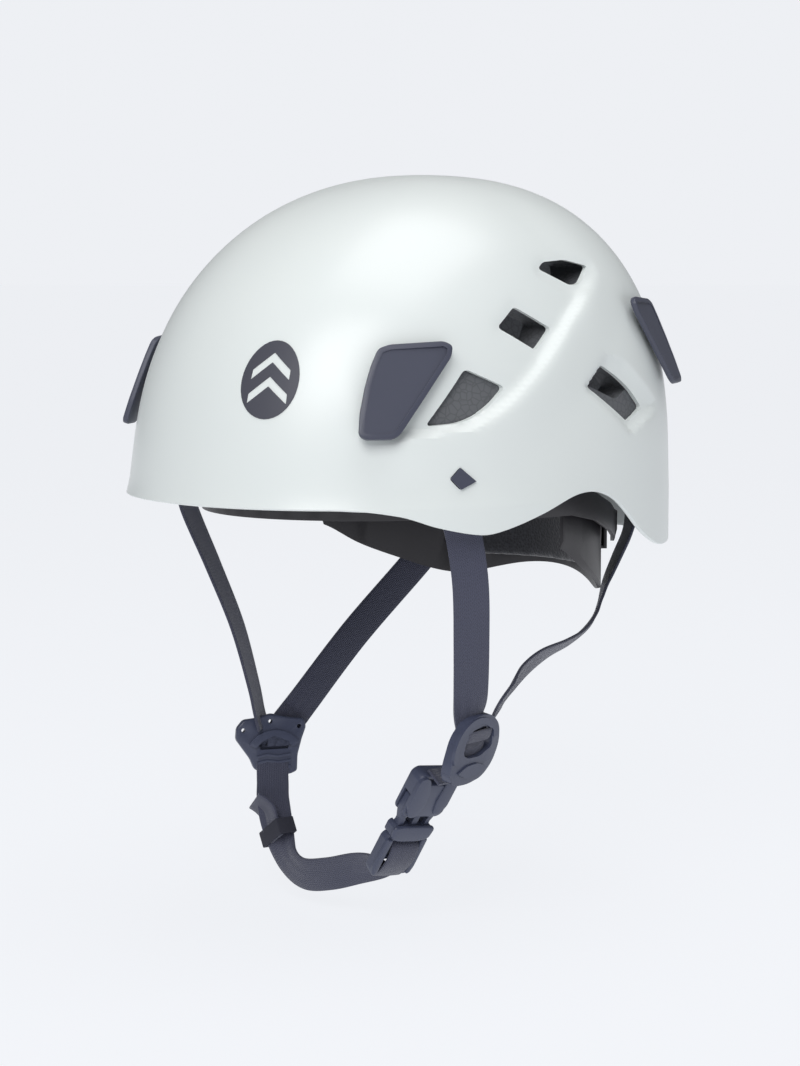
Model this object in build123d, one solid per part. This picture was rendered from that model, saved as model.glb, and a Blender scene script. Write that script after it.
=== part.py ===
from build123d import *
import os
from math import sin, cos, pi, atan2, exp, sqrt, radians, degrees

# Climbing helmet: a hard shell with a foam crown liner, a headband with a dial adjuster,
# and a webbing chin harness. Millimetres. Origin: centre of the head opening at the brow rim.
# +X is the wearer's left, -Y is the front, +Z is up.

# ---------------------------------------------------------------- driving sizes
SHELL_HALF_WIDTH = 109.0
SHELL_FRONT = 145.8        # apex to the front wall
SHELL_REAR = 123.9         # apex to the rear wall
APEX_Y = 12.0
CROWN_HEIGHT = 137.2       # above the level where the walls turn upright
WALL_BASE_Z = 9.0
PLAN_POWER = 2.17
FRONT_POWER = 2.02
REAR_POWER = 2.62
SIDE_POWER = 2.37
BRIM_FLARE = 4.1
BRIM_FADE = 13.4
SHELL_WALL = 2.2

LINER_GAP = 0.3
LINER_THICK = 15.0
LINER_FRONT_Z = 17.0
LINER_REAR_Z = 36.0

BAND_HALF_WIDTH = 82.0     # inside of the headband
BAND_HALF_LENGTH = 105.0
BAND_CENTRE_Y = 4.0
BAND_THICK = 1.8
BAND_LOW_Z = -2.0
BAND_HIGH_Z = 24.0
TEMPLE_Y = -52.0           # tilt pins
TEMPLE_Z = -3.0
TEMPLE_PIN_R = 2.5
PIN_GAP = 0.05

PAD_THICK = 6.0
ARM_THICK = 1.8
ARM_GAP = 2.0              # headband to arm, room for the arm's travel
RACK_RADIUS = 107.0        # middle of the racks, about the head's upright axis
RACK_THICK = 2.4
RACK_HEIGHT = 4.0
HOUSING_HALF_ANGLE = 19.0
HOUSING_LOW_Z = -36.0
HOUSING_HIGH_Z = -12.0
HOUSING_WALL = 1.6
RACK_ROOM = 0.4
PINION_PITCH_R = 4.5
PINION_TEETH = 9
DIAL_RADIUS = 14.0
DIAL_DEPTH = 7.0
DIAL_FLUTES = 14
SPINDLE_R = 2.2

WEB_WIDTH = 16.0
WEB_THICK = 1.4
PART_GAP = 0.3

CLIP_THICK = 2.6
CLIP_STAND = 1.2
CLIP_LEAN = 4.0            # degrees: the lower edge stands further off
STUD_R = 2.4
STUD_GAP = 0.5

BUCKLE_WIDTH = 24.0
BUCKLE_THICK = 8.0
BUCKLE_WALL = 1.5
PRONG_GAP = 0.3

# ---------------------------------------------------------------- helpers


def block(x0, x1, y0, y1, z0, z1):
    """A box between two corners."""
    return Pos((x0 + x1) / 2, (y0 + y1) / 2, (z0 + z1) / 2) * Box(x1 - x0, y1 - y0, z1 - z0)


def save(name, *solids):
    """Writes one node."""
    shape = solids[0] if len(solids) == 1 else Compound(children=list(solids))
    shape.label = name
    export_step(shape, f"parts/{name}.step")


def both_sides(name, shape):
    """Writes a left piece and its mirror image on the right."""
    save(f"{name}_left", shape)
    save(f"{name}_right", mirror(shape, about=Plane.YZ))


# ---------------------------------------------------------------- the dome
def ease(t):
    t = min(max(t, 0.0), 1.0)
    return t * t * (3 - 2 * t)


def dome_radius(angle, z, inset=0.0):
    """Plan radius about the apex axis, at an angle from +X and a height."""
    height = CROWN_HEIGHT - inset
    rise = min(max(z - WALL_BASE_Z, 0.0) / height, 0.999)
    front = sin(angle) < 0
    power = FRONT_POWER if front else REAR_POWER
    length = (SHELL_FRONT if front else SHELL_REAR) - inset
    length *= (1 - rise**power) ** (1 / power)
    width = (SHELL_HALF_WIDTH - inset) * (1 - rise**SIDE_POWER) ** (1 / SIDE_POWER)
    share = 0.15 + 0.85 * ease(0.35 - sin(angle))
    flare = BRIM_FLARE * share * exp(-max(z + 0.5, 0.0) / BRIM_FADE)
    plan = abs(cos(angle) / width) ** PLAN_POWER + abs(sin(angle) / length) ** PLAN_POWER
    return plan ** (-1 / PLAN_POWER) + flare


def dome_point(angle, z, inset=0.0):
    radius = dome_radius(angle, z, inset)
    return Vector(radius * cos(angle), APEX_Y + radius * sin(angle), z)


DOME_LEVELS = (-34, -18, -1, 5, 14, 24, 36, 50, 66, 84, 101, 116, 128, 137, 142.5, 145.7)
SECTION_POINTS = 28


def dome(inset=0.0):
    """The closed solid inside the dome surface, drawn in by inset."""
    levels = [z if z < 100 else z - inset * (z - 100) / 45.7 for z in DOME_LEVELS]
    faces = []
    for z in levels:
        turns = [2 * pi * (i + 0.5) / SECTION_POINTS for i in range(SECTION_POINTS)]
        curve = Spline([dome_point(a, z, inset) for a in turns], periodic=True)
        faces.append(make_face(Wire([curve])))
    return loft(faces)


def surface_plane(x, y, z, stand=0.0):
    """A plane on the shell's left side: local x level and rearwards, local y up, z outwards."""
    angle = atan2(y - APEX_Y, x)
    step = 0.001
    along = dome_point(angle + step, z) - dome_point(angle - step, z)
    up = dome_point(angle, z + 0.05) - dome_point(angle, z - 0.05)
    normal = along.cross(up).normalized()
    level = Vector(-normal.Y, normal.X, 0).normalized()
    return Plane(origin=dome_point(angle, z) + normal * stand, x_dir=level, z_dir=normal)


RIM = ((-112, 0), (-89, -3), (-73, -8.5), (-54, -12.3), (-43, -11), (-22, -5),
       (-1, 2), (13, 3), (24, 0.3), (33, -4.5), (52, -18), (70, -25.5), (84, -27))
FAR = 170.0


def below_rim():
    """Everything under the rim's side profile."""
    curve = Spline([(y, z) for y, z in RIM], tangents=[(1, 0), (1, 0)])
    edge = [(RIM[-1][0], RIM[-1][1]), (FAR, RIM[-1][1]), (FAR, -FAR), (-FAR, -FAR),
            (-FAR, 0), (RIM[0][0], 0)]
    outline = make_face(Wire([curve] + [Line(a, b) for a, b in zip(edge, edge[1:])]))
    return extrude(Plane.YZ * outline, amount=FAR, both=True)


# Vents, as corners in the side view (Y, Z).
SIDE_VENTS = {
    "big": ((-53, 59.5), (-34, 51), (-42, 45), (-51, 39), (-58, 36), (-73, 35)),
    "middle": ((-21, 86), (-2, 76), (-14, 66.5), (-33, 77)),
    "upper": ((2, 103), (6, 105.5), (22, 106.5), (38, 103), (24, 95), (19, 95)),
    "rear": ((26, 59.5), (38, 53.5), (48, 47.5), (60, 38), (43, 32.5), (14, 50)),
}
LINER_VENTS = ("middle", "upper")   # the vents that go on through the foam
# Strap anchor: spot on the shell, and its kite-shaped hole on the plane there.
ANCHOR_SPOTS = {"front": (99, -62, 12), "rear": (50, 122, 4)}
ANCHOR_HOLE = ((-1, 5.5), (7, -1), (-1, -4.5), (-6, 0.5))


def side_prism(corners, grow=0.0):
    """A side-view outline run right through the helmet."""
    outline = make_face(Polyline(*corners, close=True))
    if grow:
        outline = offset(outline, amount=grow)
    return extrude(Plane.YZ * outline, amount=FAR, both=True)


# ---------------------------------------------------------------- shell and liner
os.makedirs("parts", exist_ok=True)

outer = dome()
inner = dome(SHELL_WALL)
rim_cut = below_rim()
vents = [side_prism(corners) for corners in SIDE_VENTS.values()]

CLIP_SPOTS = {"front": (81, -82, 50), "rear": (88, 76, 68)}
# Clip outline on its own plane: wide at the top, slanting down and away.
CLIP_OUTLINE = ((-7, 19.5), (22, 21), (23.5, 16), (-2, -20), (-5, -21.5), (-18, -21), (-19.5, -17), (-14, 3))
STUD_SPOT = (6, 12)


def clip_plane(which):
    """The clip's back plane, leaning out at the lower edge about its top edge."""
    x, y, z = CLIP_SPOTS[which]
    flat = surface_plane(x, y, z, CLIP_STAND)
    top = flat.from_local_coords(Vector(STUD_SPOT[0], STUD_SPOT[1], 0))
    leaned = Plane(origin=top, x_dir=flat.x_dir, z_dir=flat.z_dir).rotated((-CLIP_LEAN, 0, 0))
    return leaned


def stud_hole(which):
    return clip_plane(which) * Pos(0, 0, -8) * Cylinder(STUD_R + PIN_GAP, 24)


shell = outer - inner - rim_cut
for cut in vents:
    shell -= cut
for spot in ANCHOR_SPOTS.values():
    hole = surface_plane(*spot) * extrude(make_face(Polyline(*ANCHOR_HOLE, close=True)), amount=8, both=True)
    shell = shell - hole - mirror(hole, about=Plane.YZ)
for which in CLIP_SPOTS:
    hole = stud_hole(which)
    shell = shell - hole - mirror(hole, about=Plane.YZ)
save("shell", shell)

liner_outer = dome(SHELL_WALL + LINER_GAP)
liner_inner = dome(SHELL_WALL + LINER_GAP + LINER_THICK)
liner_floor = make_face(Polyline((-FAR, LINER_FRONT_Z), (30, LINER_FRONT_Z), (62, LINER_REAR_Z),
                                 (FAR, LINER_REAR_Z), (FAR, -FAR), (-FAR, -FAR), close=True))
liner = liner_outer - liner_inner - extrude(Plane.YZ * liner_floor, amount=FAR, both=True)
for name in LINER_VENTS:
    liner -= side_prism(SIDE_VENTS[name], -3.0)
for y in (-60, -10, 40):
    liner -= Pos(0, y, 0) * Cylinder(9, 2 * FAR)
pockets = [clip_plane(which) * Pos(0, 0, -7) * Cylinder(STUD_R + 2, 12) for which in CLIP_SPOTS]
pockets += [surface_plane(*spot) * Pos(0, 0, -7) * Box(25, 18, 12) for spot in ANCHOR_SPOTS.values()]
for pocket in pockets:
    liner = liner - pocket - mirror(pocket, about=Plane.YZ)
save("foam_liner", liner)

# ---------------------------------------------------------------- strap anchors and clips
snug = dome(SHELL_WALL + LINER_GAP)
proud = dome(-1.2)


def anchor(which):
    """Kite plug in the shell's hole, with a slotted plate inside that the webbing loops through."""
    plane = surface_plane(*ANCHOR_SPOTS[which])
    kite = offset(make_face(Polyline(*ANCHOR_HOLE, close=True)), amount=-0.25)
    plug = (plane * extrude(kite, amount=9, both=True)) & proud
    plug &= plane * Pos(0, 0, 0) * Box(20, 20, 11)
    plate = plane * Pos(0, 0, -6.5) * (Box(22, 15, 3.6) - Pos(0, -2.5, 0) * Box(WEB_WIDTH + 1, 2.6, 9))
    neck = plane * Pos(0, 0.5, -4) * Box(8, 7, 3)
    return plug + (plate & snug) + (neck & snug)


for which in ANCHOR_SPOTS:
    both_sides(f"{which}_anchor", anchor(which))


def clip(which):
    """A headlamp clip: a bevelled plate with a blind socket for its stud and a hook lip at the foot."""
    outline = make_face(Polyline(*[(x - STUD_SPOT[0], y - STUD_SPOT[1]) for x, y in CLIP_OUTLINE], close=True))
    if which == "rear":
        outline = mirror(outline, about=Plane.YZ)
    plate = extrude(outline, amount=CLIP_THICK)
    edges = plate.faces().sort_by(Axis.Z)[-1].edges()
    plate = chamfer(edges, CLIP_THICK * 0.45)
    plate -= Pos(0, 0, -0.01) * Cylinder(STUD_R + STUD_GAP, 2 * (CLIP_THICK - 1))
    return clip_plane(which) * plate


STUD_LONG = 8.5
STUD_GRIP = 0.9                    # how far a stud runs into its clip
STUD_HEAD_DEEP = 6.5
STUD_HEAD_THICK = 2.0
STUD_LIP = 1.4
studs = []
for which in CLIP_SPOTS:
    one = clip(which)
    both_sides(f"{which}_clip", one)
    post = clip_plane(which) * Pos(0, 0, -STUD_LONG / 2) * Cylinder(STUD_R, STUD_LONG + 2 * STUD_GRIP)
    head = clip_plane(which) * Pos(0, 0, -STUD_HEAD_DEEP) * Cylinder(STUD_R + STUD_LIP, STUD_HEAD_THICK)
    pin = post + (head & snug)
    studs += [pin, mirror(pin, about=Plane.YZ)]
save("clip_studs", *studs)


# ---------------------------------------------------------------- headband
def ring_curve(out, start, end, count=15):
    """Part of the headband's ellipse, drawn out by a distance. Angles in degrees."""
    turns = [radians(start + (end - start) * i / (count - 1)) for i in range(count)]
    return [((BAND_HALF_WIDTH + out) * cos(t), BAND_CENTRE_Y + (BAND_HALF_LENGTH + out) * sin(t))
            for t in turns]


def band(inside, outside, start, end, low, high):
    """A strip standing on the headband's ellipse between two distances from it."""
    a, b = Spline(ring_curve(inside, start, end)), Spline(ring_curve(outside, start, end))
    face = make_face(Wire([a, Line(a @ 1, b @ 1), b, Line(b @ 0, a @ 0)]))
    return extrude(Pos(0, 0, low) * face, amount=high - low)


def band_angle(y, out=0.0):
    return degrees(atan2((y - BAND_CENTRE_Y) / (BAND_HALF_LENGTH + out),
                         sqrt(1 - ((y - BAND_CENTRE_Y) / (BAND_HALF_LENGTH + out)) ** 2)))


headband = band(0, BAND_THICK, -172, -8, BAND_LOW_Z - 6, BAND_HIGH_Z - 4)
pin_bore = Pos(0, TEMPLE_Y, TEMPLE_Z) * Rot(0, 90, 0) * Cylinder(TEMPLE_PIN_R + PIN_GAP, 2 * FAR)
headband -= pin_bore
save("headband", headband)
save("brow_pad", band(-PAD_THICK, -0.3, -143, -37, BAND_LOW_Z, BAND_HIGH_Z - 6))

HANGER_Y = -80.0                   # side hangers, in front of the temple pins so that the links can tilt
HANGER_X = 32.0
HANGER_HALF = 7.0
HANGER_IN = 40.0
HANGER_Z = (6, 12)
outside_band = extrude(Pos(0, BAND_CENTRE_Y, -FAR) * Ellipse(BAND_HALF_WIDTH + BAND_THICK + 0.1,
                                                             BAND_HALF_LENGTH + BAND_THICK + 0.1), amount=2 * FAR)
side_hanger = block(HANGER_IN, FAR, HANGER_Y - HANGER_HALF, HANGER_Y + HANGER_HALF, *HANGER_Z)
front_hanger = block(HANGER_X - HANGER_HALF, HANGER_X + HANGER_HALF, -FAR, -HANGER_IN, *HANGER_Z)
hangers = []
for blank in (side_hanger, front_hanger):
    hanger = (blank & snug) - outside_band
    hangers += [hanger, mirror(hanger, about=Plane.YZ)]
save("band_hangers", *hangers)


# ---------------------------------------------------------------- rear suspension
def sector(r0, r1, half, low, high, middle=90.0):
    """Part of a round wall about the head's upright axis; half is its half angle in degrees."""
    def at(r, turn):
        turn = radians(middle + turn)
        return (r * cos(turn), BAND_CENTRE_Y + r * sin(turn))
    outer_arc = ThreePointArc(at(r1, -half), at(r1, 0), at(r1, half))
    inner_arc = ThreePointArc(at(r0, -half), at(r0, 0), at(r0, half))
    sides = [Line(at(r0, -half), at(r1, -half)), Line(at(r0, half), at(r1, half))]
    face = make_face(Wire([outer_arc, sides[1], inner_arc, sides[0]]))
    return extrude(Pos(0, 0, low) * face, amount=high - low)


def radial(turn, z, r0, r1, radius):
    """A round bar pointing straight out from the head's upright axis at the back."""
    place = Pos(0, BAND_CENTRE_Y, z) * Rot(0, 0, turn) * Pos(0, (r0 + r1) / 2, 0)
    return place * Rot(90, 0, 0) * Cylinder(radius, r1 - r0)


PINION_Z = (HOUSING_LOW_Z + HOUSING_HIGH_Z) / 2
ADDENDUM = 0.9
DEDENDUM = 1.15
TOOTH = 1.15                       # tooth width at the pitch line, with generous backlash
PITCH = 2 * pi * PINION_PITCH_R / PINION_TEETH
LINK_THICK = 1.6
LINK_OUT = BAND_THICK + 0.9
ARM_CLEAR = 1.6                    # between a link and its arm
ARM_OUT = LINK_OUT + LINK_THICK + ARM_CLEAR + ARM_THICK / 2   # headband to the middle of an arm
ARM_HEIGHT = 13.0
RACK_END = 16.0                    # degrees that a rack runs past the middle


def rack_tooth(upper):
    """One tooth of a rack, over the pinion's axis."""
    way = 1 if upper else -1
    root = PINION_Z + way * (PINION_PITCH_R + DEDENDUM + 0.2)
    tip = PINION_Z + way * (PINION_PITCH_R - ADDENDUM)
    face = make_face(Polyline((-TOOTH * 0.75, root), (TOOTH * 0.75, root), (TOOTH * 0.25, tip),
                              (-TOOTH * 0.25, tip), close=True))
    return Pos(0, BAND_CENTRE_Y + RACK_RADIUS, 0) * extrude(Plane.XZ * face, amount=RACK_THICK / 2, both=True)


def arm(upper):
    """The left arm: a strip from the temple guide to its rack, above or below the pinion."""
    way = 1 if upper else -1
    rack_z = PINION_Z + way * (PINION_PITCH_R + DEDENDUM + RACK_HEIGHT / 2)
    rack = sector(RACK_RADIUS - RACK_THICK / 2, RACK_RADIUS + RACK_THICK / 2, 20,
                  rack_z - RACK_HEIGHT / 2, rack_z + RACK_HEIGHT / 2, 90 + RACK_END - 20)
    turn = degrees(PITCH / RACK_RADIUS)
    for i in range(-7, 7):
        shift = (i + (0.5 if upper else 0.0)) * turn
        spin = Pos(0, BAND_CENTRE_Y, 0) * Rot(0, 0, shift) * Pos(0, -BAND_CENTRE_Y, 0)
        rack += spin * rack_tooth(upper)
    points, heights = [], []
    for t in (-21, -12, -2, 10, 22, 34, 44, 53):
        drop = 21.0 * ease((t - 5) / 55)
        t = radians(t)
        points.append(Vector((BAND_HALF_WIDTH + ARM_OUT) * cos(t),
                             BAND_CENTRE_Y + (BAND_HALF_LENGTH + ARM_OUT - 2) * sin(t), TEMPLE_Z - drop))
        heights.append(ARM_HEIGHT)
    for back, height in ((-4, 9.0), (0, RACK_HEIGHT)):
        a = radians(90 + RACK_END - 40 + 0.6 + back)
        z = rack_z if back == 0 else (rack_z + PINION_Z) / 2
        points.append(Vector(RACK_RADIUS * cos(a), BAND_CENTRE_Y + RACK_RADIUS * sin(a), z))
        heights.append(height)
    sections = []
    for i, height in enumerate(heights):
        run = points[min(i + 1, len(points) - 1)] - points[max(i - 1, 0)]
        run = Vector(run.X, run.Y, 0).normalized()
        sections.append(Plane(origin=points[i], x_dir=Vector(0, 0, 1), z_dir=run) * Rectangle(height, ARM_THICK))
    return rack + loft(sections, ruled=True)


save("arm_left", arm(True))
save("arm_right", mirror(arm(False), about=Plane.YZ))

ROOM_OUT = RACK_RADIUS + RACK_THICK / 2 + RACK_ROOM
ROOM_IN = RACK_RADIUS - RACK_THICK / 2 - RACK_ROOM
SCREW_TURN = 11.5
SCREW_R = 1.1
POST_R = 2.6
COVER_THICK = 1.8
screw_turns = (-SCREW_TURN, SCREW_TURN)

housing = sector(ROOM_IN - HOUSING_WALL, ROOM_OUT, HOUSING_HALF_ANGLE, HOUSING_LOW_Z, HOUSING_HIGH_Z)
housing -= sector(ROOM_IN, ROOM_OUT + 1, HOUSING_HALF_ANGLE + 2, HOUSING_LOW_Z + HOUSING_WALL,
                  HOUSING_HIGH_Z - HOUSING_WALL)
for turn in screw_turns:
    housing += radial(turn, PINION_Z, ROOM_IN - 0.8, ROOM_OUT - 0.05, POST_R)
    housing -= radial(turn, PINION_Z, ROOM_IN, ROOM_OUT + 2, SCREW_R)
housing -= radial(0, PINION_Z, ROOM_IN - 1.2, ROOM_IN + 1, SPINDLE_R + PIN_GAP)
save("adjuster_housing", housing)

cover = sector(ROOM_OUT, ROOM_OUT + COVER_THICK, HOUSING_HALF_ANGLE, HOUSING_LOW_Z, HOUSING_HIGH_Z)
cover -= radial(0, PINION_Z, ROOM_OUT - 2, ROOM_OUT + 4, SPINDLE_R + PIN_GAP)
screws = []
for turn in screw_turns:
    cover -= radial(turn, PINION_Z, ROOM_OUT - 2, ROOM_OUT + 4, SCREW_R + 0.1)
    screw = radial(turn, PINION_Z, ROOM_IN + 0.2, ROOM_OUT + COVER_THICK + 0.2, SCREW_R)
    screws.append(screw + radial(turn, PINION_Z, ROOM_OUT + COVER_THICK + 0.05, ROOM_OUT + COVER_THICK + 1.2, 2.1))
save("adjuster_cover", cover)
save("housing_screws", *screws)

# What turns with the dial runs along Y, about x = 0.
GEAR_IN = BAND_CENTRE_Y + ROOM_IN + 0.5
GEAR_OUT = BAND_CENTRE_Y + ROOM_OUT - 0.5
DIAL_IN = BAND_CENTRE_Y + ROOM_OUT + COVER_THICK + 0.6
DIAL_OUT = DIAL_IN + DIAL_DEPTH
DIAL_RECESS = 2.6
DIAL_BORE = 4.0


def along_y(y0, y1, radius):
    return Pos(0, (y0 + y1) / 2, PINION_Z) * Rot(90, 0, 0) * Cylinder(radius, y1 - y0)


tooth_root = PINION_PITCH_R - DEDENDUM
tooth_tip = PINION_PITCH_R + ADDENDUM - 0.1
pinion = along_y(GEAR_IN, GEAR_OUT, tooth_root)
tooth = make_face(Polyline((-TOOTH * 0.7, 1), (TOOTH * 0.7, 1), (TOOTH * 0.7, tooth_root), (TOOTH * 0.2, tooth_tip),
                           (-TOOTH * 0.2, tooth_tip), (-TOOTH * 0.7, tooth_root), close=True))
for i in range(PINION_TEETH):
    bar = Rot(0, 0, 360 * i / PINION_TEETH) * extrude(tooth, amount=GEAR_OUT - GEAR_IN)
    pinion += Pos(0, GEAR_OUT, PINION_Z) * Rot(90, 0, 0) * bar
pinion += along_y(GEAR_IN - 1.4, DIAL_IN + DIAL_BORE, SPINDLE_R)
pinion -= along_y(DIAL_IN - 1, DIAL_IN + DIAL_BORE + 1, 0.9)
save("pinion", pinion)

dial = along_y(DIAL_IN, DIAL_OUT, DIAL_RADIUS)
dial = chamfer(dial.faces().sort_by(Axis.Y)[-1].edges(), 1.2)
for i in range(DIAL_FLUTES):
    a = 2 * pi * i / DIAL_FLUTES
    spot = Pos((DIAL_RADIUS + 0.7) * sin(a), DIAL_OUT, PINION_Z + (DIAL_RADIUS + 0.7) * cos(a))
    dial -= spot * Rot(90, 0, 0) * Cylinder(1.5, 30)
dial -= along_y(DIAL_IN - 1, DIAL_IN + DIAL_BORE, SPINDLE_R)
dial -= along_y(DIAL_IN + 3, DIAL_OUT + 1, 1.0)
dial -= along_y(DIAL_OUT - 1.6, DIAL_OUT + 1, 2.3)
dial -= along_y(DIAL_IN - 1, DIAL_IN + DIAL_RECESS, 10.5) - along_y(DIAL_IN - 1, DIAL_IN + DIAL_RECESS, 4.2)
save("dial", dial)
save("dial_screw", along_y(DIAL_IN, DIAL_OUT - 1.5, 0.9) + along_y(DIAL_OUT - 1.6, DIAL_OUT - 0.3, 2.2))
spring = along_y(DIAL_IN - 0.5, DIAL_IN + DIAL_RECESS - 0.6, 9.8) - along_y(DIAL_IN - 2, DIAL_IN + 3, 8.8)
spring &= block(-12, 12, 0, FAR, PINION_Z + 2, PINION_Z + 12)
save("click_spring", spring)

# Cradle: a plate under the arms, curved round the nape.
CRADLE_IN = -1.0                   # inner face, out from the headband's ellipse
CRADLE_THICK = 2.0
CRADLE_SHORT = 2.3                 # how much nearer than the ellipse it sits at the back
CRADLE_FROM_Y = 24.0
CRADLE_WINDOWS = ((25, -37, 15, 6), (47, -36, 9, 5))
CRADLE_EDGE = ((90, -15), (80, -25), (75, -36), (65, -45.5), (54, -51.5), (45, -53), (35, -51), (18, -47), (0, -45.5))
CRADLE_TOP = -11.0


def oval(out, short):
    return Ellipse(BAND_HALF_WIDTH + out, BAND_HALF_LENGTH + out - short)


cradle = extrude(Pos(0, BAND_CENTRE_Y, -70) * (oval(CRADLE_IN + CRADLE_THICK, CRADLE_SHORT)
                                               - oval(CRADLE_IN, CRADLE_SHORT)), amount=80)
cradle &= block(-FAR, FAR, CRADLE_FROM_Y, FAR, -FAR, FAR)
full_edge = list(CRADLE_EDGE) + [(-x, z) for x, z in reversed(CRADLE_EDGE[:-1])]
lower = Spline(full_edge)
left, right = full_edge[0], full_edge[-1]
sides = [Line(left, (left[0], CRADLE_TOP)), Line((left[0], CRADLE_TOP), (right[0], CRADLE_TOP)),
         Line((right[0], CRADLE_TOP), right)]
front_view = make_face(Wire([lower] + sides))
cradle &= extrude(Plane.XZ * front_view, amount=-FAR)
for x, z, w, h in CRADLE_WINDOWS:
    for side in (-x, x):
        cradle -= extrude(Plane.XZ * Pos(side, z) * SlotOverall(w, h), amount=-FAR)
save("nape_cradle", cradle)
pad_ring = extrude(Pos(0, BAND_CENTRE_Y, -43) * (oval(CRADLE_IN - 0.3, CRADLE_SHORT)
                                                 - oval(CRADLE_IN - 0.3 - PAD_THICK, CRADLE_SHORT)), amount=29)
save("nape_pad", pad_ring & block(-36, 36, 0, FAR, -60, 0))

# Temple links: pinned to the headband, each with a loop that guides its arm.
LINK_FAR = -8.0                    # where the link ends, degrees round the ellipse
LOOP = (-16.0, -11.0)
temple_turn = band_angle(TEMPLE_Y)
arm_in, arm_out = ARM_OUT - ARM_THICK / 2, ARM_OUT + ARM_THICK / 2
arm_low, arm_high = TEMPLE_Z - ARM_HEIGHT / 2, TEMPLE_Z + ARM_HEIGHT / 2
LOOP_ROOM = 0.8
link = band(LINK_OUT, LINK_OUT + LINK_THICK, temple_turn - 4.5, LINK_FAR, TEMPLE_Z - 5, TEMPLE_Z + 5)
loop = band(LINK_OUT, arm_out + 2.6, *LOOP, arm_low - 2, arm_high + 2)
loop -= band(arm_in - 1.0, arm_out + 1.0, LOOP[0] - 3, LOOP[1] + 3, arm_low - LOOP_ROOM, arm_high + LOOP_ROOM)
link = link + loop - pin_bore
both_sides("temple_link", link & block(0, FAR, -FAR, FAR, -FAR, FAR))

temple_x = BAND_HALF_WIDTH * cos(radians(temple_turn))
pin_out = temple_x + LINK_OUT + LINK_THICK + 3.6
pin = Pos((temple_x - 2.6 + pin_out) / 2, TEMPLE_Y, TEMPLE_Z) * Rot(0, 90, 0) * Cylinder(
    TEMPLE_PIN_R, pin_out - temple_x + 2.6)
cap = Pos(pin_out + 0.5, TEMPLE_Y, TEMPLE_Z) * Rot(0, 90, 0) * Cylinder(TEMPLE_PIN_R + 1.6, 1.2)
foot = Pos(temple_x - 3.4, TEMPLE_Y, TEMPLE_Z) * Rot(0, 90, 0) * Cylinder(TEMPLE_PIN_R + 1.6, 1.6)
temple_pin = pin + cap + foot
save("temple_pins", temple_pin, mirror(temple_pin, about=Plane.YZ))

# ---------------------------------------------------------------- chin harness
def ribbon(stations, width, thick):
    """A flat strip through (point, width direction) stations."""
    points = [Vector(*p) for p, _ in stations]
    sections = []
    for i, (_, across) in enumerate(stations):
        run = (points[min(i + 1, len(points) - 1)] - points[max(i - 1, 0)]).normalized()
        across = Vector(*across)
        across = (across - run * across.dot(run)).normalized()
        sections.append(Plane(origin=points[i], x_dir=across, z_dir=run) * Rectangle(width, thick))
    return loft(sections, ruled=True)


# Each strap: (point, width direction) from top to bottom.
NEAR_FRONT = (((91, -57.5, -1.5), (0.4, 0.9, 0)), ((91.5, -53, -14), (0.6, 0.8, 0)),
              ((90, -47, -36), (0.7, 0.71, 0)), ((83, -39, -64), (0.6, 0.8, 0)),
              ((76, -32, -88), (0.45, 0.9, 0)), ((72.5, -29.5, -99), (0.3, 0.95, 0)))
FAR_FRONT = (((-91, -57.5, -1.5), (0.4, -0.9, 0)), ((-91.5, -54, -14), (0.35, -0.9, 0)),
             ((-87, -43, -42), (0.4, -0.9, 0)), ((-81, -33, -72), (0.45, -0.9, 0)),
             ((-75, -28, -101), (0.5, -0.86, 0)), ((-73, -26, -115), (0.52, -0.85, 0)))
NEAR_REAR = (((46, 113.5, -2), (1, -0.4, 0)), ((52, 108.5, -14), (0.9, -0.5, 0)),
             ((52.5, 104.5, -26), (0.85, -0.6, 0)), ((48, 101.5, -39), (0.8, -0.6, 0)),
             ((45, 98, -50), (0.75, -0.65, 0)), ((46, 92, -60), (0.7, -0.7, 0.2)),
             ((48, 84, -68), (0.7, -0.6, 0.4)), ((51, 69, -74.5), (0.8, -0.3, 0.5)),
             ((55, 50, -78), (0.8, 0, 0.6)), ((61, 27, -81.5), (0.6, 0, 0.8)),
             ((65, 11, -87), (0.4, 0.2, 0.9)), ((69, -1, -93.5), (0.2, 0.5, 0.8)),
             ((71, -10, -99), (0.1, 0.6, 0.7)))
FAR_REAR = (((-46, 113.5, -2), (1, 0.4, 0)), ((-57, 106, -16), (0.8, 0.6, 0)),
            ((-65, 91, -35), (0.6, 0.8, 0.1)), ((-66, 76, -49), (0.3, 0.7, -0.6)),
            ((-67, 34, -81), (0.25, 0.62, -0.74)), ((-67, -1, -111), (0.3, 0.6, -0.74)),
            ((-68, -8, -118), (0.35, 0.6, -0.72)))
CHIN = (((20, -30, -180.5), (0.12, 0.987, -0.112)), ((10, -30.5, -185.5), (0.0, 0.8, -0.5)),
        ((-4, -32, -189.5), (0, 0.35, -0.93)), ((-20, -33, -192), (0, 0.15, -0.98)),
        ((-36, -32.5, -190), (-0.2, 0.1, -0.95)), ((-48, -31, -182.5), (-0.6, 0.1, -0.7)),
        ((-56, -29, -171), (-0.85, 0.2, -0.4)), ((-62, -27, -158), (-0.7, 0.5, -0.2)),
        ((-65, -24.5, -149.5), (-0.6, 0.7, -0.2)))
KEEPER = Plane(origin=(-55.5, -29.85, -171.9), x_dir=(-0.8, 0.2, -0.5), z_dir=(-0.5, 0.1, 0.85))
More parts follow.
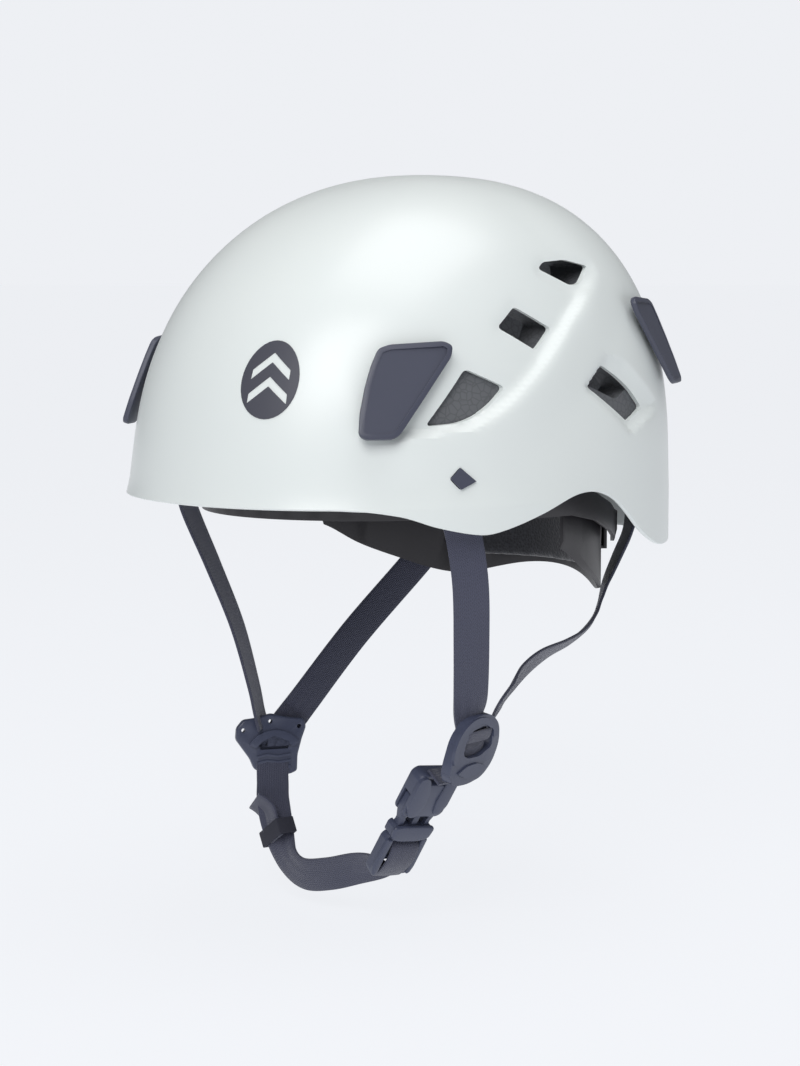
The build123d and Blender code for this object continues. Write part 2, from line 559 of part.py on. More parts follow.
# The strap's free end, from the keeper's middle: along the chin strap, then curling away above it.
TAIL_SPOTS = ((0, 2.3, -4), (0, 2.3, 4), (0, 2.4, 10.5), (0.4, 4.2, 14.5), (1.0, 7.4, 18))
TAIL = [(tuple(KEEPER.from_local_coords(Vector(*spot))), tuple(KEEPER.x_dir)) for spot in TAIL_SPOTS]
NEAR_SHORT = (((67, -27, -129), (0.1, 0.99, -0.05)), ((60, -28, -131), (0.15, 0.98, -0.1)),
              ((52.8, -28, -125.2), (0.12, 0.987, -0.112)))
for name, route in (("front_strap_left", NEAR_FRONT), ("front_strap_right", FAR_FRONT),
                    ("rear_strap_left", NEAR_REAR), ("rear_strap_right", FAR_REAR),
                    ("chin_strap", CHIN), ("strap_tail", TAIL)):
    save(name, ribbon(route, WEB_WIDTH, WEB_THICK))
    points = [Vector(*p) for p, _ in route]
    print(name, "length", round(sum((b - a).length for a, b in zip(points, points[1:]))))


def yoke(plane, outline, window, slots):
    """A flat strap divider with rounded corners, a window and strap slots."""
    face = fillet(make_face(Polyline(*outline, close=True)).vertices(), 5.0)
    plate = extrude(face, amount=YOKE_THICK / 2, both=True)
    plate = chamfer(plate.faces().sort_by(Axis.Z)[-1].edges(), 0.9)
    plate -= extrude(fillet(make_face(Polyline(*window, close=True)).vertices(), 2.0), amount=9, both=True)
    for x, y, turn in slots:
        plate -= Pos(x, y) * Rot(0, 0, turn) * Box(WEB_WIDTH + 1, WEB_THICK + 1.2, 20)
    return plane * plate


YOKE_THICK = 4.0
LEFT_YOKE = Plane(origin=(71, -26, -114), x_dir=(-0.15, 0.98, 0.0), z_dir=(0.97, 0.15, -0.18))
RIGHT_YOKE = Plane(origin=(-69.5, -21.5, -131), x_dir=(0.47, 0.88, 0), z_dir=(0.88, -0.47, 0.05))
left_outline = ((-17, -9), (-12, -15.5), (8, -15.5), (17, -7), (18, 8), (12, 15.5), (-6, 15.5), (-16, 6))
left_window = ((-8, -5.5), (7, -5.5), (8, 5), (-6, 5))
save("left_yoke", yoke(LEFT_YOKE, left_outline, left_window, ((-5, 11, 8), (0, -11.5, 0))))
right_outline = ((-18, 5), (-12, -8), (-8, -14.5), (10, -14.5), (13, -7), (18, 6), (14, 12), (-12, 12))
right_window = ((-8, -5.5), (8, -5.5), (8, 1), (-8, 1))
save("right_yoke", yoke(RIGHT_YOKE, right_outline, right_window, ((0, 6.5, 0), (0, -10.5, 0))))

# Side-release buckle on its own plane: x across, y up the strap, z out of its face.
BUCKLE = Plane(origin=(36, -29, -152), x_dir=(0.12, 0.987, -0.112), z_dir=(0.843, -0.161, -0.513))
SOCKET_LOW, SOCKET_HIGH = 5.0, 30.0
half_w, half_t = BUCKLE_WIDTH / 2, BUCKLE_THICK / 2
socket = block(-half_w, half_w, SOCKET_LOW, SOCKET_HIGH, -half_t, half_t)
socket = fillet(socket.edges().filter_by(Axis.Z), 4.0)
socket -= block(-half_w + BUCKLE_WALL, half_w - BUCKLE_WALL, SOCKET_LOW - 9, SOCKET_HIGH - 9,
                -half_t + BUCKLE_WALL, half_t - BUCKLE_WALL)
socket -= block(-half_w - 1, half_w + 1, SOCKET_LOW - 9, SOCKET_HIGH - 12, -half_t + BUCKLE_WALL, half_t - BUCKLE_WALL)
socket -= block(-WEB_WIDTH / 2 - 0.5, WEB_WIDTH / 2 + 0.5, SOCKET_HIGH - 6, SOCKET_HIGH - 2.4, -9, 9)
save("buckle_socket", BUCKLE * socket)

COLLAR_LOW, COLLAR_HIGH = -8.0, -1.0
FRAME_LOW = -31.0
PRONG_X = 7.4
PRONG_W = 4.0
PRONG_T = BUCKLE_THICK - 2 * BUCKLE_WALL - 2 * PRONG_GAP
HINGE_Y = COLLAR_HIGH - 0.6
collar = block(-11, 11, COLLAR_LOW, COLLAR_HIGH, -3.2, 3.2)
collar = fillet(collar.edges().filter_by(Axis.Z), 2.0)
frame = block(-half_w, half_w, FRAME_LOW, COLLAR_LOW + 1, -2.4, 2.4)
frame = fillet(frame.edges().filter_by(Axis.Z), 3.5)
for low, high in ((-14.5, -10.5), (-19.5, -16.5), (-27.5, -21.5)):
    frame -= block(-WEB_WIDTH / 2 - 0.6, WEB_WIDTH / 2 + 0.6, low, high, -9, 9)
guide = block(-1.6, 1.6, COLLAR_HIGH - 1, SOCKET_HIGH - 11, -PRONG_T / 2, PRONG_T / 2)
plug_body = collar + frame + guide
for x in (-PRONG_X, PRONG_X):
    plug_body -= Pos(x, HINGE_Y, 0) * Cylinder(1.75, 30)
    plug_body -= block(x - 1.75, x + 1.75, HINGE_Y, COLLAR_HIGH + 1, -9, 9)
save("buckle_frame", BUCKLE * plug_body)
for side, x in (("rear", PRONG_X), ("front", -PRONG_X)):
    prong = Pos(x, HINGE_Y, 0) * Cylinder(1.7, PRONG_T)
    prong += block(x - 1.2, x + 1.2, HINGE_Y, HINGE_Y + 4, -PRONG_T / 2, PRONG_T / 2)
    way = 1 if x > 0 else -1
    blade = Polyline((x - way * 1.2, HINGE_Y + 3), (x + way * 1.2, HINGE_Y + 3), (x + way * 3.6, HINGE_Y + 9),
                     (x + way * 2.8, HINGE_Y + 17), (x + way * 0.4, HINGE_Y + 20.5), (x - way * 1.0, HINGE_Y + 18),
                     (x + way * 0.6, HINGE_Y + 10), close=True)
    prong += Pos(0, 0, -PRONG_T / 2) * extrude(make_face(blade), amount=PRONG_T)
    save(f"buckle_prong_{side}", BUCKLE * prong)

KEEPER_LONG = 8.0
KEEPER_WALL = 1.2
KEEPER_SIDE = 1.3                  # clearance at each edge of the webbing
KEEPER_ROOM = 7.2                  # inside, across the two layers
inner_width = WEB_WIDTH + 2 * KEEPER_SIDE
keeper = Box(inner_width + 2 * KEEPER_WALL, KEEPER_ROOM + 2 * KEEPER_WALL, KEEPER_LONG)
keeper -= Box(inner_width, KEEPER_ROOM, 3 * KEEPER_LONG)
save("strap_keeper", KEEPER * keeper)
save("short_strap", ribbon(NEAR_SHORT[1:], WEB_WIDTH, WEB_THICK))
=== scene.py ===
"""Looks of a hard-shell climbing helmet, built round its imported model. Sizes are in millimetres
until mm() turns them to metres. +X is the wearer's left, -Y the front, +Z up."""
from math import asin, atan2, cos, exp, hypot, pi, radians, sin

import bmesh
import bpy
from mathutils import Matrix, Vector


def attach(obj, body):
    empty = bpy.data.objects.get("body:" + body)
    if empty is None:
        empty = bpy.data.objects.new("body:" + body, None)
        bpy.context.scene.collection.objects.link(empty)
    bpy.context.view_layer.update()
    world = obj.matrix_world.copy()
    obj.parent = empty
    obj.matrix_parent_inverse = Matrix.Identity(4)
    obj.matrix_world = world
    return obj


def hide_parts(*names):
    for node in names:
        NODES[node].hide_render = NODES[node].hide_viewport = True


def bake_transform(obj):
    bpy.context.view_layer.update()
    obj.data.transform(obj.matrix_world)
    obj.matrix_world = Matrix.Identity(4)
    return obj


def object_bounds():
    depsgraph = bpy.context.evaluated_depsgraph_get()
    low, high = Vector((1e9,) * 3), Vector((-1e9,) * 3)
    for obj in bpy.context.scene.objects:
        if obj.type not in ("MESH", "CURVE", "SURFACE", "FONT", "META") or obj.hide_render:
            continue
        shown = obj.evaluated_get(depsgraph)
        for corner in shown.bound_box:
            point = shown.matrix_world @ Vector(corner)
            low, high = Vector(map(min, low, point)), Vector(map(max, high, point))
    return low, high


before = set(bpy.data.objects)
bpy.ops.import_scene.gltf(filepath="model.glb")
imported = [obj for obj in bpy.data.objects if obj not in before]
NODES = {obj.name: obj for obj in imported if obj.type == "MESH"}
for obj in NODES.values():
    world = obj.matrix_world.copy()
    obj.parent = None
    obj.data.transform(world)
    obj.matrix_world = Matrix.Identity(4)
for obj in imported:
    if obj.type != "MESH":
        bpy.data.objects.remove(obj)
CAD_BOX = [[float(v) for v in corner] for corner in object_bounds()]
MIRRORED = Matrix.Diagonal((-1, 1, 1, 1))    # from the wearer's left side to the right


def mm(*values):
    """Millimetres to metres, as a vector."""
    return Vector([v / 1000 for v in values])


# ---------------------------------------------------------------- working tools
def alone(piece):
    """Selects one piece and nothing else."""
    bpy.ops.object.select_all(action="DESELECT")
    piece.select_set(True)
    bpy.context.view_layer.objects.active = piece


def start(kind, name, **settings):
    """Adds a primitive, with nothing else selected."""
    bpy.ops.object.select_all(action="DESELECT")
    getattr(bpy.ops.mesh, f"primitive_{kind}_add")(**settings)
    piece = bpy.context.object
    piece.name = piece.data.name = name
    return piece


def refine(piece, kind, **settings):
    """Adds a modifier with its settings and applies it."""
    alone(piece)
    modifier = piece.modifiers.new(kind.lower(), kind)
    for key, value in settings.items():
        setattr(modifier, key, value)
    bpy.ops.object.modifier_apply(modifier=modifier.name)


def edit(piece, *steps):
    """Runs edit-mode steps on everything in the piece."""
    alone(piece)
    bpy.ops.object.mode_set(mode="EDIT")
    bpy.ops.mesh.select_all(action="SELECT")
    for step in steps:
        step()
    bpy.ops.object.mode_set(mode="OBJECT")


def right_way_out():
    """Edit-mode step: merges doubles and makes the normals agree."""
    bpy.ops.mesh.remove_doubles(threshold=1e-6)
    bpy.ops.mesh.normals_make_consistent(inside=False)


def outward(piece):
    """Turns the faces of a closed piece outwards."""
    edit(piece, right_way_out)
    form = bmesh.new()
    form.from_mesh(piece.data)
    if form.calc_volume(signed=True) < 0:
        bmesh.ops.reverse_faces(form, faces=form.faces)
        form.to_mesh(piece.data)
    form.free()


def smooth(piece, angle):
    """Smooth shading, with edges sharper than the angle (degrees) left crisp."""
    alone(piece)
    bpy.ops.object.shade_smooth_by_angle(angle=radians(angle))


def place(piece, matrix):
    """Moves the mesh itself, so that the object stays at the origin."""
    piece.data.transform(matrix)
    piece.data.update()


def cut(piece, cutter, how="DIFFERENCE", solver="EXACT"):
    """Cuts a piece by a cutter, or joins the two, and removes the cutter."""
    refine(piece, "BOOLEAN", operation=how, solver=solver, object=cutter)
    bpy.data.objects.remove(cutter)


def prism(name, corners, depth, rounding, matrix, arc=4):
    """A rounded outline in its own X-Y plane, run from 0 to depth along Z, then placed."""
    piece = start("circle", name, vertices=len(corners), fill_type="NGON")
    for vertex, (x, y) in zip(piece.data.vertices, corners):
        vertex.co = mm(x, y, 0)

    def rounded():
        if rounding:
            bpy.ops.mesh.bevel(affect="VERTICES", offset=rounding / 1000, segments=arc)

    def thicker():
        bpy.ops.mesh.select_all(action="SELECT")
        bpy.ops.mesh.extrude_region_move(TRANSFORM_OT_translate={"value": (0, 0, depth / 1000)})

    edit(piece, rounded, thicker)
    place(piece, matrix)
    outward(piece)
    return piece


def drawn_in(corners, gap):
    """A clockwise outline with every edge moved in by a distance."""
    inner = []
    for before, (x, y), after in zip(corners[-1:] + corners[:-1], corners, corners[1:] + corners[:1]):
        one = Vector((x - before[0], y - before[1]))
        two = Vector((after[0] - x, after[1] - y))
        side_one = Vector((one.y, -one.x)).normalized()
        side_two = Vector((two.y, -two.x)).normalized()
        lean = side_one + side_two
        inner.append(tuple(Vector((x, y)) + lean * (gap / (1 + side_one.dot(side_two)))))
    return inner


def local(origin, across, out):
    """A placing matrix: local X across, Z out, at an origin in millimetres."""
    out = Vector(out).normalized()
    across = Vector(across)
    across = (across - out * across.dot(out)).normalized()
    up = out.cross(across)
    turn = Matrix((across, up, out)).transposed().to_4x4()
    return Matrix.Translation(mm(*origin)) @ turn


# ---------------------------------------------------------------- materials
def linear(text):
    """An sRGB hex colour as linear red, green, blue, alpha."""
    parts = [int(text[i:i + 2], 16) / 255 for i in (1, 3, 5)]
    light = [c / 12.92 if c <= 0.04045 else ((c + 0.055) / 1.055) ** 2.4 for c in parts]
    return (*light, 1.0)


def add(tree, kind, links=(), values=(), **settings):
    """Adds a node: its settings, then socket values, then links from (node, output) pairs."""
    new = tree.nodes.new(kind)
    for key, value in settings.items():
        setattr(new, key, value)
    for socket, value in dict(values).items():
        new.inputs[socket].default_value = value
    for socket, (source, output) in dict(links).items():
        tree.links.new(source.outputs[output], new.inputs[socket])
    return new


def material(name, colour, rough, **sockets):
    """A principled material; returns it with its tree and shader."""
    made = bpy.data.materials.new(name)
    made.use_nodes = True
    tree = made.node_tree
    shader = tree.nodes["Principled BSDF"]
    shader.inputs["Base Color"].default_value = linear(colour)
    shader.inputs["Roughness"].default_value = rough
    for socket, value in sockets.items():
        shader.inputs[socket.replace("_", " ")].default_value = value
    return made, tree, shader


DRIFT_MM = 60                      # how far apart a moulding's colour and gloss drift


def plastic(name, colour, shade, rough, grain_mm, bump_mm, ior=1.5, **sockets):
    """Moulded plastic: slight colour drift, uneven gloss, and a fine grain from the mould."""
    made, tree, shader = material(name, colour, rough, IOR=ior, **sockets)
    place_at = add(tree, "ShaderNodeTexCoord")
    drift = add(tree, "ShaderNodeTexNoise", {"Vector": (place_at, "Object")},
                {"Scale": 1000 / DRIFT_MM, "Detail": 2.0})
    tint = add(tree, "ShaderNodeMix", {"Factor": (drift, "Fac")},
               {"A": linear(colour), "B": linear(shade)}, data_type="RGBA")
    tree.links.new(tint.outputs["Result"], shader.inputs["Base Color"])
    grain = add(tree, "ShaderNodeTexNoise", {"Vector": (place_at, "Object")},
                {"Scale": 1000 / grain_mm, "Detail": 4.0})
    gloss = add(tree, "ShaderNodeMapRange", {"Value": (drift, "Fac")},
                {"To Min": rough - 0.04, "To Max": rough + 0.06})
    tree.links.new(gloss.outputs["Result"], shader.inputs["Roughness"])
    bump = add(tree, "ShaderNodeBump", {"Height": (grain, "Fac")},
               {"Distance": bump_mm / 1000, "Strength": 0.6})
    tree.links.new(bump.outputs["Normal"], shader.inputs["Normal"])
    return made


HERRINGBONE_MM = 2.6               # how far the twill slants one way before it turns


def webbing_material(name, colour, shade, twill_mm, rib_mm):
    """Woven nylon tape: twill and ribs on a UV map in millimetres, u across and v along the strap."""
    made, tree, shader = material(name, colour, 0.62, Sheen_Weight=0.35, Sheen_Roughness=0.45)
    uv = add(tree, "ShaderNodeUVMap", uv_map="UVMap")
    split = add(tree, "ShaderNodeSeparateXYZ", {"Vector": (uv, "UV")})
    fold = add(tree, "ShaderNodeMath", {0: (split, "X")}, {1: HERRINGBONE_MM}, operation="PINGPONG")
    slant = add(tree, "ShaderNodeMath", {0: (fold, "Value"), 1: (split, "Y")}, operation="ADD")
    turns = add(tree, "ShaderNodeMath", {0: (slant, "Value")}, {1: 2 * pi / twill_mm},
                operation="MULTIPLY")
    twill = add(tree, "ShaderNodeMath", {0: (turns, "Value")}, operation="SINE")
    across = add(tree, "ShaderNodeMath", {0: (split, "X")}, {1: 2 * pi / rib_mm}, operation="MULTIPLY")
    ribs = add(tree, "ShaderNodeMath", {0: (across, "Value")}, operation="SINE")
    weave = add(tree, "ShaderNodeMath", {0: (twill, "Value"), 1: (ribs, "Value")}, operation="ADD")
    fuzz = add(tree, "ShaderNodeTexNoise", {"Vector": (uv, "UV")}, {"Scale": 0.5, "Detail": 4.0})
    mixed = add(tree, "ShaderNodeMath", {0: (weave, "Value"), 1: (fuzz, "Fac")}, operation="ADD")
    factor = add(tree, "ShaderNodeMapRange", {"Value": (mixed, "Value")},
                 {"From Min": -1.5, "From Max": 2.5})
    tint = add(tree, "ShaderNodeMix", {"Factor": (factor, "Result")},
               {"A": linear(shade), "B": linear(colour)}, data_type="RGBA")
    tree.links.new(tint.outputs["Result"], shader.inputs["Base Color"])
    bump = add(tree, "ShaderNodeBump", {"Height": (mixed, "Value")},
               {"Distance": 0.00008, "Strength": 0.7})
    tree.links.new(bump.outputs["Normal"], shader.inputs["Normal"])
    return made


def foam_material():
    """Moulded polystyrene beads, pressed flat at the skin: a faint cell pattern with dark joints."""
    bead_mm = 3.2
    made, tree, shader = material("expanded_polystyrene", "#5d5f62", 0.8)
    place_at = add(tree, "ShaderNodeTexCoord")
    cells = add(tree, "ShaderNodeTexVoronoi", {"Vector": (place_at, "Object")}, {"Scale": 1000 / bead_mm},
                feature="DISTANCE_TO_EDGE")
    joint = add(tree, "ShaderNodeMapRange", {"Value": (cells, "Distance")}, {"From Max": 0.12})
    tint = add(tree, "ShaderNodeMix", {"Factor": (joint, "Result")},
               {"A": linear("#56585b"), "B": linear("#626468")}, data_type="RGBA")
    tree.links.new(tint.outputs["Result"], shader.inputs["Base Color"])
    bump = add(tree, "ShaderNodeBump", {"Height": (joint, "Result")},
               {"Distance": 0.00008, "Strength": 0.4})
    tree.links.new(bump.outputs["Normal"], shader.inputs["Normal"])
    return made


def knit_material():
    """Brushed polyester knit over pad foam: soft and dark, with small round stitches."""
    stitch_mm = 1.2
    made, tree, shader = material("brushed_knit", "#242428", 0.9, Sheen_Weight=0.5, Sheen_Roughness=0.5)
    place_at = add(tree, "ShaderNodeTexCoord")
    stitch = add(tree, "ShaderNodeTexVoronoi", {"Vector": (place_at, "Object")},
                 {"Scale": 1000 / stitch_mm})
    tint = add(tree, "ShaderNodeMix", {"Factor": (stitch, "Distance")},
               {"A": linear("#1c1c20"), "B": linear("#33343a")}, data_type="RGBA")
    tree.links.new(tint.outputs["Result"], shader.inputs["Base Color"])
    bump = add(tree, "ShaderNodeBump", {"Height": (stitch, "Distance")},
               {"Distance": 0.0003, "Strength": 0.7})
    tree.links.new(bump.outputs["Normal"], shader.inputs["Normal"])
    return made


# ABS, injection moulded: an even satin skin with the faintest orange peel.
ABS = plastic("satin_abs", "#e4eae9", "#e7ecea", 0.3, 9.0, 0.02, ior=1.53)
# Polycarbonate blend, spark-eroded mould: darker, finely textured.
CLIP_PLASTIC = plastic("textured_polycarbonate", "#404353", "#464959", 0.42, 0.7, 0.03, ior=1.56)
# Acetal: slippery and slightly glossy, blue-grey.
ACETAL = plastic("moulded_acetal", "#42475b", "#4a4f64", 0.34, 1.2, 0.02, ior=1.48)
# Polyethylene and nylon of the cradle: near black, dull.
CRADLE_PLASTIC = plastic("moulded_polyethylene", "#232125", "#2b292e", 0.45, 1.5, 0.03, ior=1.51)
# Pad-printed ink, satin.
INK = plastic("printed_ink", "#44454f", "#4a4b55", 0.45, 1.0, 0.005)
# Nylon tape, woven as twill: a soft sheen over fine slanting ribs. The threads, about half a
# millimetre in the real tape, are drawn at 1.1 and 0.9 mm, so that they show.
NYLON = webbing_material("woven_nylon", "#43465b", "#393b4d", 1.1, 0.9)
# Elastic, woven round rubber threads: darker, dull and slightly fuzzy.
ELASTIC = plastic("woven_elastic", "#31323e", "#292a35", 0.85, 0.5, 0.08)
FOAM = foam_material()
KNIT = knit_material()
# Steel, turned or bent and then zinc plated: bright, with a faint grain.
STEEL = plastic("zinc_plated_steel", "#8d9196", "#7d8186", 0.32, 0.8, 0.01, Metallic=1.0)


def finish(piece, made):
    """Gives a piece its one material."""
    piece.data.materials.clear()
    piece.data.materials.append(made)


# ---------------------------------------------------------------- the dome
SHELL_HALF_WIDTH = 109.0
SHELL_FRONT = 145.8
SHELL_REAR = 123.9
APEX_Y = 12.0
CROWN_HEIGHT = 137.2
WALL_BASE_Z = 9.0
PLAN_POWER = 2.17
FRONT_POWER = 2.02
REAR_POWER = 2.62
SIDE_POWER = 2.37
BRIM_FLARE = 4.1
BRIM_FADE = 13.4
REAR_FLARE = 0.15                  # share of the flare that is left at the back
FLARE_TOP = 0.9                    # share of the crown's height above which nothing flares
SHELL_WALL = 2.2
# The lower edge in side view: places along the helmet and heights.
RIM = ((-112, 0), (-89, -3), (-73, -8.5), (-54, -12.3), (-43, -11), (-22, -5),
       (-1, 2), (13, 3), (24, 0.3), (33, -4.5), (52, -18), (70, -25.5), (84, -27))


def ease(t):
    """A smooth step from 0 to 1."""
    t = min(max(t, 0.0), 1.0)
    return t * t * (3 - 2 * t)


def dome_radius(angle, z):
    """Distance of the outer face from the upright through the apex, at an angle and a height."""
    rise = min(max(z - WALL_BASE_Z, 0.0) / CROWN_HEIGHT, 1.0)
    front = sin(angle) < 0
    power = FRONT_POWER if front else REAR_POWER
    length = (SHELL_FRONT if front else SHELL_REAR) * max(1 - rise**power, 1e-9) ** (1 / power)
    width = SHELL_HALF_WIDTH * max(1 - rise**SIDE_POWER, 1e-9) ** (1 / SIDE_POWER)
    share = REAR_FLARE + (1 - REAR_FLARE) * ease(0.35 - sin(angle))
    flare = BRIM_FLARE * share * exp(-max(z + 0.5, 0.0) / BRIM_FADE)
    plan = abs(cos(angle) / width) ** PLAN_POWER + abs(sin(angle) / length) ** PLAN_POWER
    return plan ** (-1 / PLAN_POWER) + (flare if rise < FLARE_TOP else 0.0)


def dome_point(angle, z):
    radius = dome_radius(angle, z)
    return Vector((radius * cos(angle), APEX_Y + radius * sin(angle), z))


def dome_normal(angle, z):
    along = dome_point(angle + 0.001, z) - dome_point(angle - 0.001, z)
    up = dome_point(angle, z + 0.05) - dome_point(angle, z - 0.05)
    return along.cross(up).normalized()


def on_shell(x, y, z):
    """Placing matrix on the shell's left: local X level, Z outwards."""
    angle = atan2(y - APEX_Y, x)
    normal = dome_normal(angle, z)
    return local(dome_point(angle, z), (-normal.y, normal.x, 0), normal)


def rim_height(y):
    """The shell's lower edge at a place along the helmet."""
    if y <= RIM[0][0]:
        return RIM[0][1]
    if y >= RIM[-1][0]:
        return RIM[-1][1]
    i = max(k for k in range(len(RIM) - 1) if RIM[k][0] <= y)
    slopes = []
    for k in (i, i + 1):
        a, b = RIM[max(k - 1, 0)], RIM[min(k + 1, len(RIM) - 1)]
        slopes.append(0.0 if k in (0, len(RIM) - 1) else (b[1] - a[1]) / (b[0] - a[0]))
    (y0, z0), (y1, z1) = RIM[i], RIM[i + 1]
    span = y1 - y0
    t = (y - y0) / span
    return ((2 * t**3 - 3 * t**2 + 1) * z0 + (t**3 - 2 * t**2 + t) * span * slopes[0]
            + (3 * t**2 - 2 * t**3) * z1 + (t**3 - t**2) * span * slopes[1])


# The moulded step: the side wall is set in above this side-view line (Y, Z) and proud below it.
STEP_LINE = ((-98, 26), (-86, 28), (-72, 30.5), (-52, 33.5), (-34, 43), (-12, 60), (7, 77), (27, 91),
             (47, 102))
STEP_IN = 2.4
STEP_PROUD = 1.9
STEP_WIDTH = 5.0
STEP_FADE = 52.0
PROUD_FADE = 26.0
STEP_END = 0.2                     # share of the line's length over which the step starts and ends
# The sunk frame round the rear vent, and the rolled-in edge of every vent, in side view.
REAR_FRAME = ((8, 50), (29, 65), (42, 61), (74, 38), (43, 27))
REAR_IN = 2.4
FRAME_WALL = 3.6
ROLL_WIDTH = 5.0
ROLL_IN = 0.9
# Each vent: its corners in side view, and their rounding.
VENTS = {
    "big": (((-53, 59.5), (-34, 51), (-42, 44), (-51, 38.5), (-59, 36), (-73, 35)), 2.4),
    "middle": (((-21, 86), (-2, 76), (-14, 66.5), (-33, 77)), 2.2),
    "upper": (((2, 102.5), (7, 105.5), (22, 106.5), (37, 103.5), (26, 95.5), (19, 95)), 2.0),
    "rear": (((26, 59.5), (38, 53.5), (48, 47.5), (59, 38.5), (44, 32.5), (14, 50)), 2.4),
}
# Holes for the strap anchors: places on the left side, and the outline of each.
ANCHOR_SPOTS = ((99, -62, 12), (50, 122, 4))
ANCHOR_HOLE = ((-1, 5.5), (7, -1), (-1, -4.5), (-6, 0.5))
ANCHOR_DEEP = 12.0
SIDE_FROM_X = 40.0
SIDE_FADE = 15.0
SHELL_SEGMENTS = 288
SHELL_RINGS = 112
LOW_RINGS = 20


def to_edge(a, b, y, z):
    """Distance of a side-view place from the edge a to b, and the share of the edge passed there."""
    dy, dz = b[0] - a[0], b[1] - a[1]
    t = min(max(((y - a[0]) * dy + (z - a[1]) * dz) / (dy * dy + dz * dz), 0.0), 1.0)
    return hypot(y - a[0] - t * dy, z - a[1] - t * dz), t


def along_line(line, y, z):
    """Signed distance from an open side-view line, positive above it, and the share of its length."""
    nearest, signed, share = 1e9, 0.0, 0.0
    for k, (a, b) in enumerate(zip(line, line[1:])):
        gap, t = to_edge(a, b, y, z)
        if gap < nearest:
            above = (b[0] - a[0]) * (z - a[1]) > (b[1] - a[1]) * (y - a[0])
            nearest, signed, share = gap, gap if above else -gap, (k + t) / (len(line) - 1)
    return signed, share


def outside(corners, y, z):
    """Distance outside a closed side-view outline; negative inside it."""
    gap, within = 1e9, False
    for a, b in zip(corners, corners[1:] + corners[:1]):
        gap = min(gap, to_edge(a, b, y, z)[0])
        if (a[1] > z) != (b[1] > z) and y < a[0] + (z - a[1]) * (b[0] - a[0]) / (b[1] - a[1]):
            within = not within
    return -gap if within else gap


def set_in(y, z):
    """How far the shell's wall is set in at a side-view place, in millimetres."""
    gap, share = along_line(STEP_LINE, y, z)
    ends = ease(share / STEP_END) * ease((1 - share) / STEP_END)
    step = STEP_IN * ease(gap / STEP_WIDTH) * (1 - ease((gap - STEP_WIDTH) / STEP_FADE))
    proud = STEP_PROUD * (1 - ease(gap / STEP_WIDTH)) * (1 - ease(-gap / PROUD_FADE))
    framed = REAR_IN * ease(-outside(REAR_FRAME, y, z) / FRAME_WALL)
    rolled = max(1 - ease(max(outside(vent, y, z), 0) / ROLL_WIDTH) for vent, _ in VENTS.values())
    return (step - proud) * ends + framed + ROLL_IN * rolled


def side_cutter(name, corners, rounding):
    """A rounded side-view outline run right across the helmet."""
    reach = 260.0
    across = Matrix(((0, 0, 1), (1, 0, 0), (0, 1, 0))).to_4x4()
    return prism(name, corners, reach, rounding, Matrix.Translation(mm(-reach / 2, 0, 0)) @ across)


def shell_spot(angle, ring):
    """Where the outer face passes, from an angle round the dome and a ring counted from the rim."""
    if ring >= LOW_RINGS:
        climb = (ring - LOW_RINGS) / (SHELL_RINGS - LOW_RINGS)
        level = WALL_BASE_Z + CROWN_HEIGHT * sin(climb * pi / 2)
    else:
        low = 0.0
        for _ in range(4):                 # the rim's height and its place settle in four rounds
            low = rim_height(dome_point(angle, low).y)
        level = low + (WALL_BASE_Z - low) * (ring - 1) / (LOW_RINGS - 1)
    spot = dome_point(angle, level)
    if abs(spot.x) > SIDE_FROM_X and level > WALL_BASE_Z + 2:
        spot -= (dome_normal(angle, level) * set_in(spot.y, spot.z)
                 * ease((abs(spot.x) - SIDE_FROM_X) / SIDE_FADE))
    return spot


def make_shell():
    """The shell: a sphere's rings laid on the dome, its lowest point opened, walled, vented and holed."""
    shell = start("uv_sphere", "shell_body", segments=SHELL_SEGMENTS, ring_count=SHELL_RINGS, radius=1.0)
    for vertex in shell.data.vertices:
        x, y, z = vertex.co
        ring = round((asin(max(-1.0, min(1.0, z))) / pi + 0.5) * SHELL_RINGS)
        if ring == 0:
            lowest = vertex.index
        elif ring == SHELL_RINGS:
            vertex.co = mm(0, APEX_Y, WALL_BASE_Z + CROWN_HEIGHT)
        else:
            vertex.co = shell_spot(atan2(y, x), ring) / 1000
    edit(shell, lambda: bpy.ops.mesh.select_mode(type="VERT"),
         lambda: bpy.ops.mesh.select_all(action="DESELECT"))
    shell.data.vertices[lowest].select = True
    bpy.ops.object.mode_set(mode="EDIT")
    bpy.ops.mesh.delete(type="VERT")
    bpy.ops.object.mode_set(mode="OBJECT")
    edit(shell, right_way_out)
    refine(shell, "SOLIDIFY", thickness=SHELL_WALL / 1000, offset=-1.0, use_even_offset=True)
    refine(shell, "BEVEL", width=0.0007, segments=2, limit_method="ANGLE", angle_limit=radians(50))
    for name, (corners, rounding) in VENTS.items():
        cut(shell, side_cutter(f"{name}_vent_cutter", corners, rounding))
    inwards = Matrix.Translation(mm(0, 0, -ANCHOR_DEEP / 2))
    for spot in ANCHOR_SPOTS:
        for seat in (on_shell(*spot), MIRRORED @ on_shell(*spot)):
            cut(shell, prism("anchor_cutter", ANCHOR_HOLE, ANCHOR_DEEP, 1.0, seat @ inwards))
    smooth(shell, 32)
    return shell


shell = make_shell()
finish(shell, ABS)
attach(shell, "helmet")
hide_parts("shell")


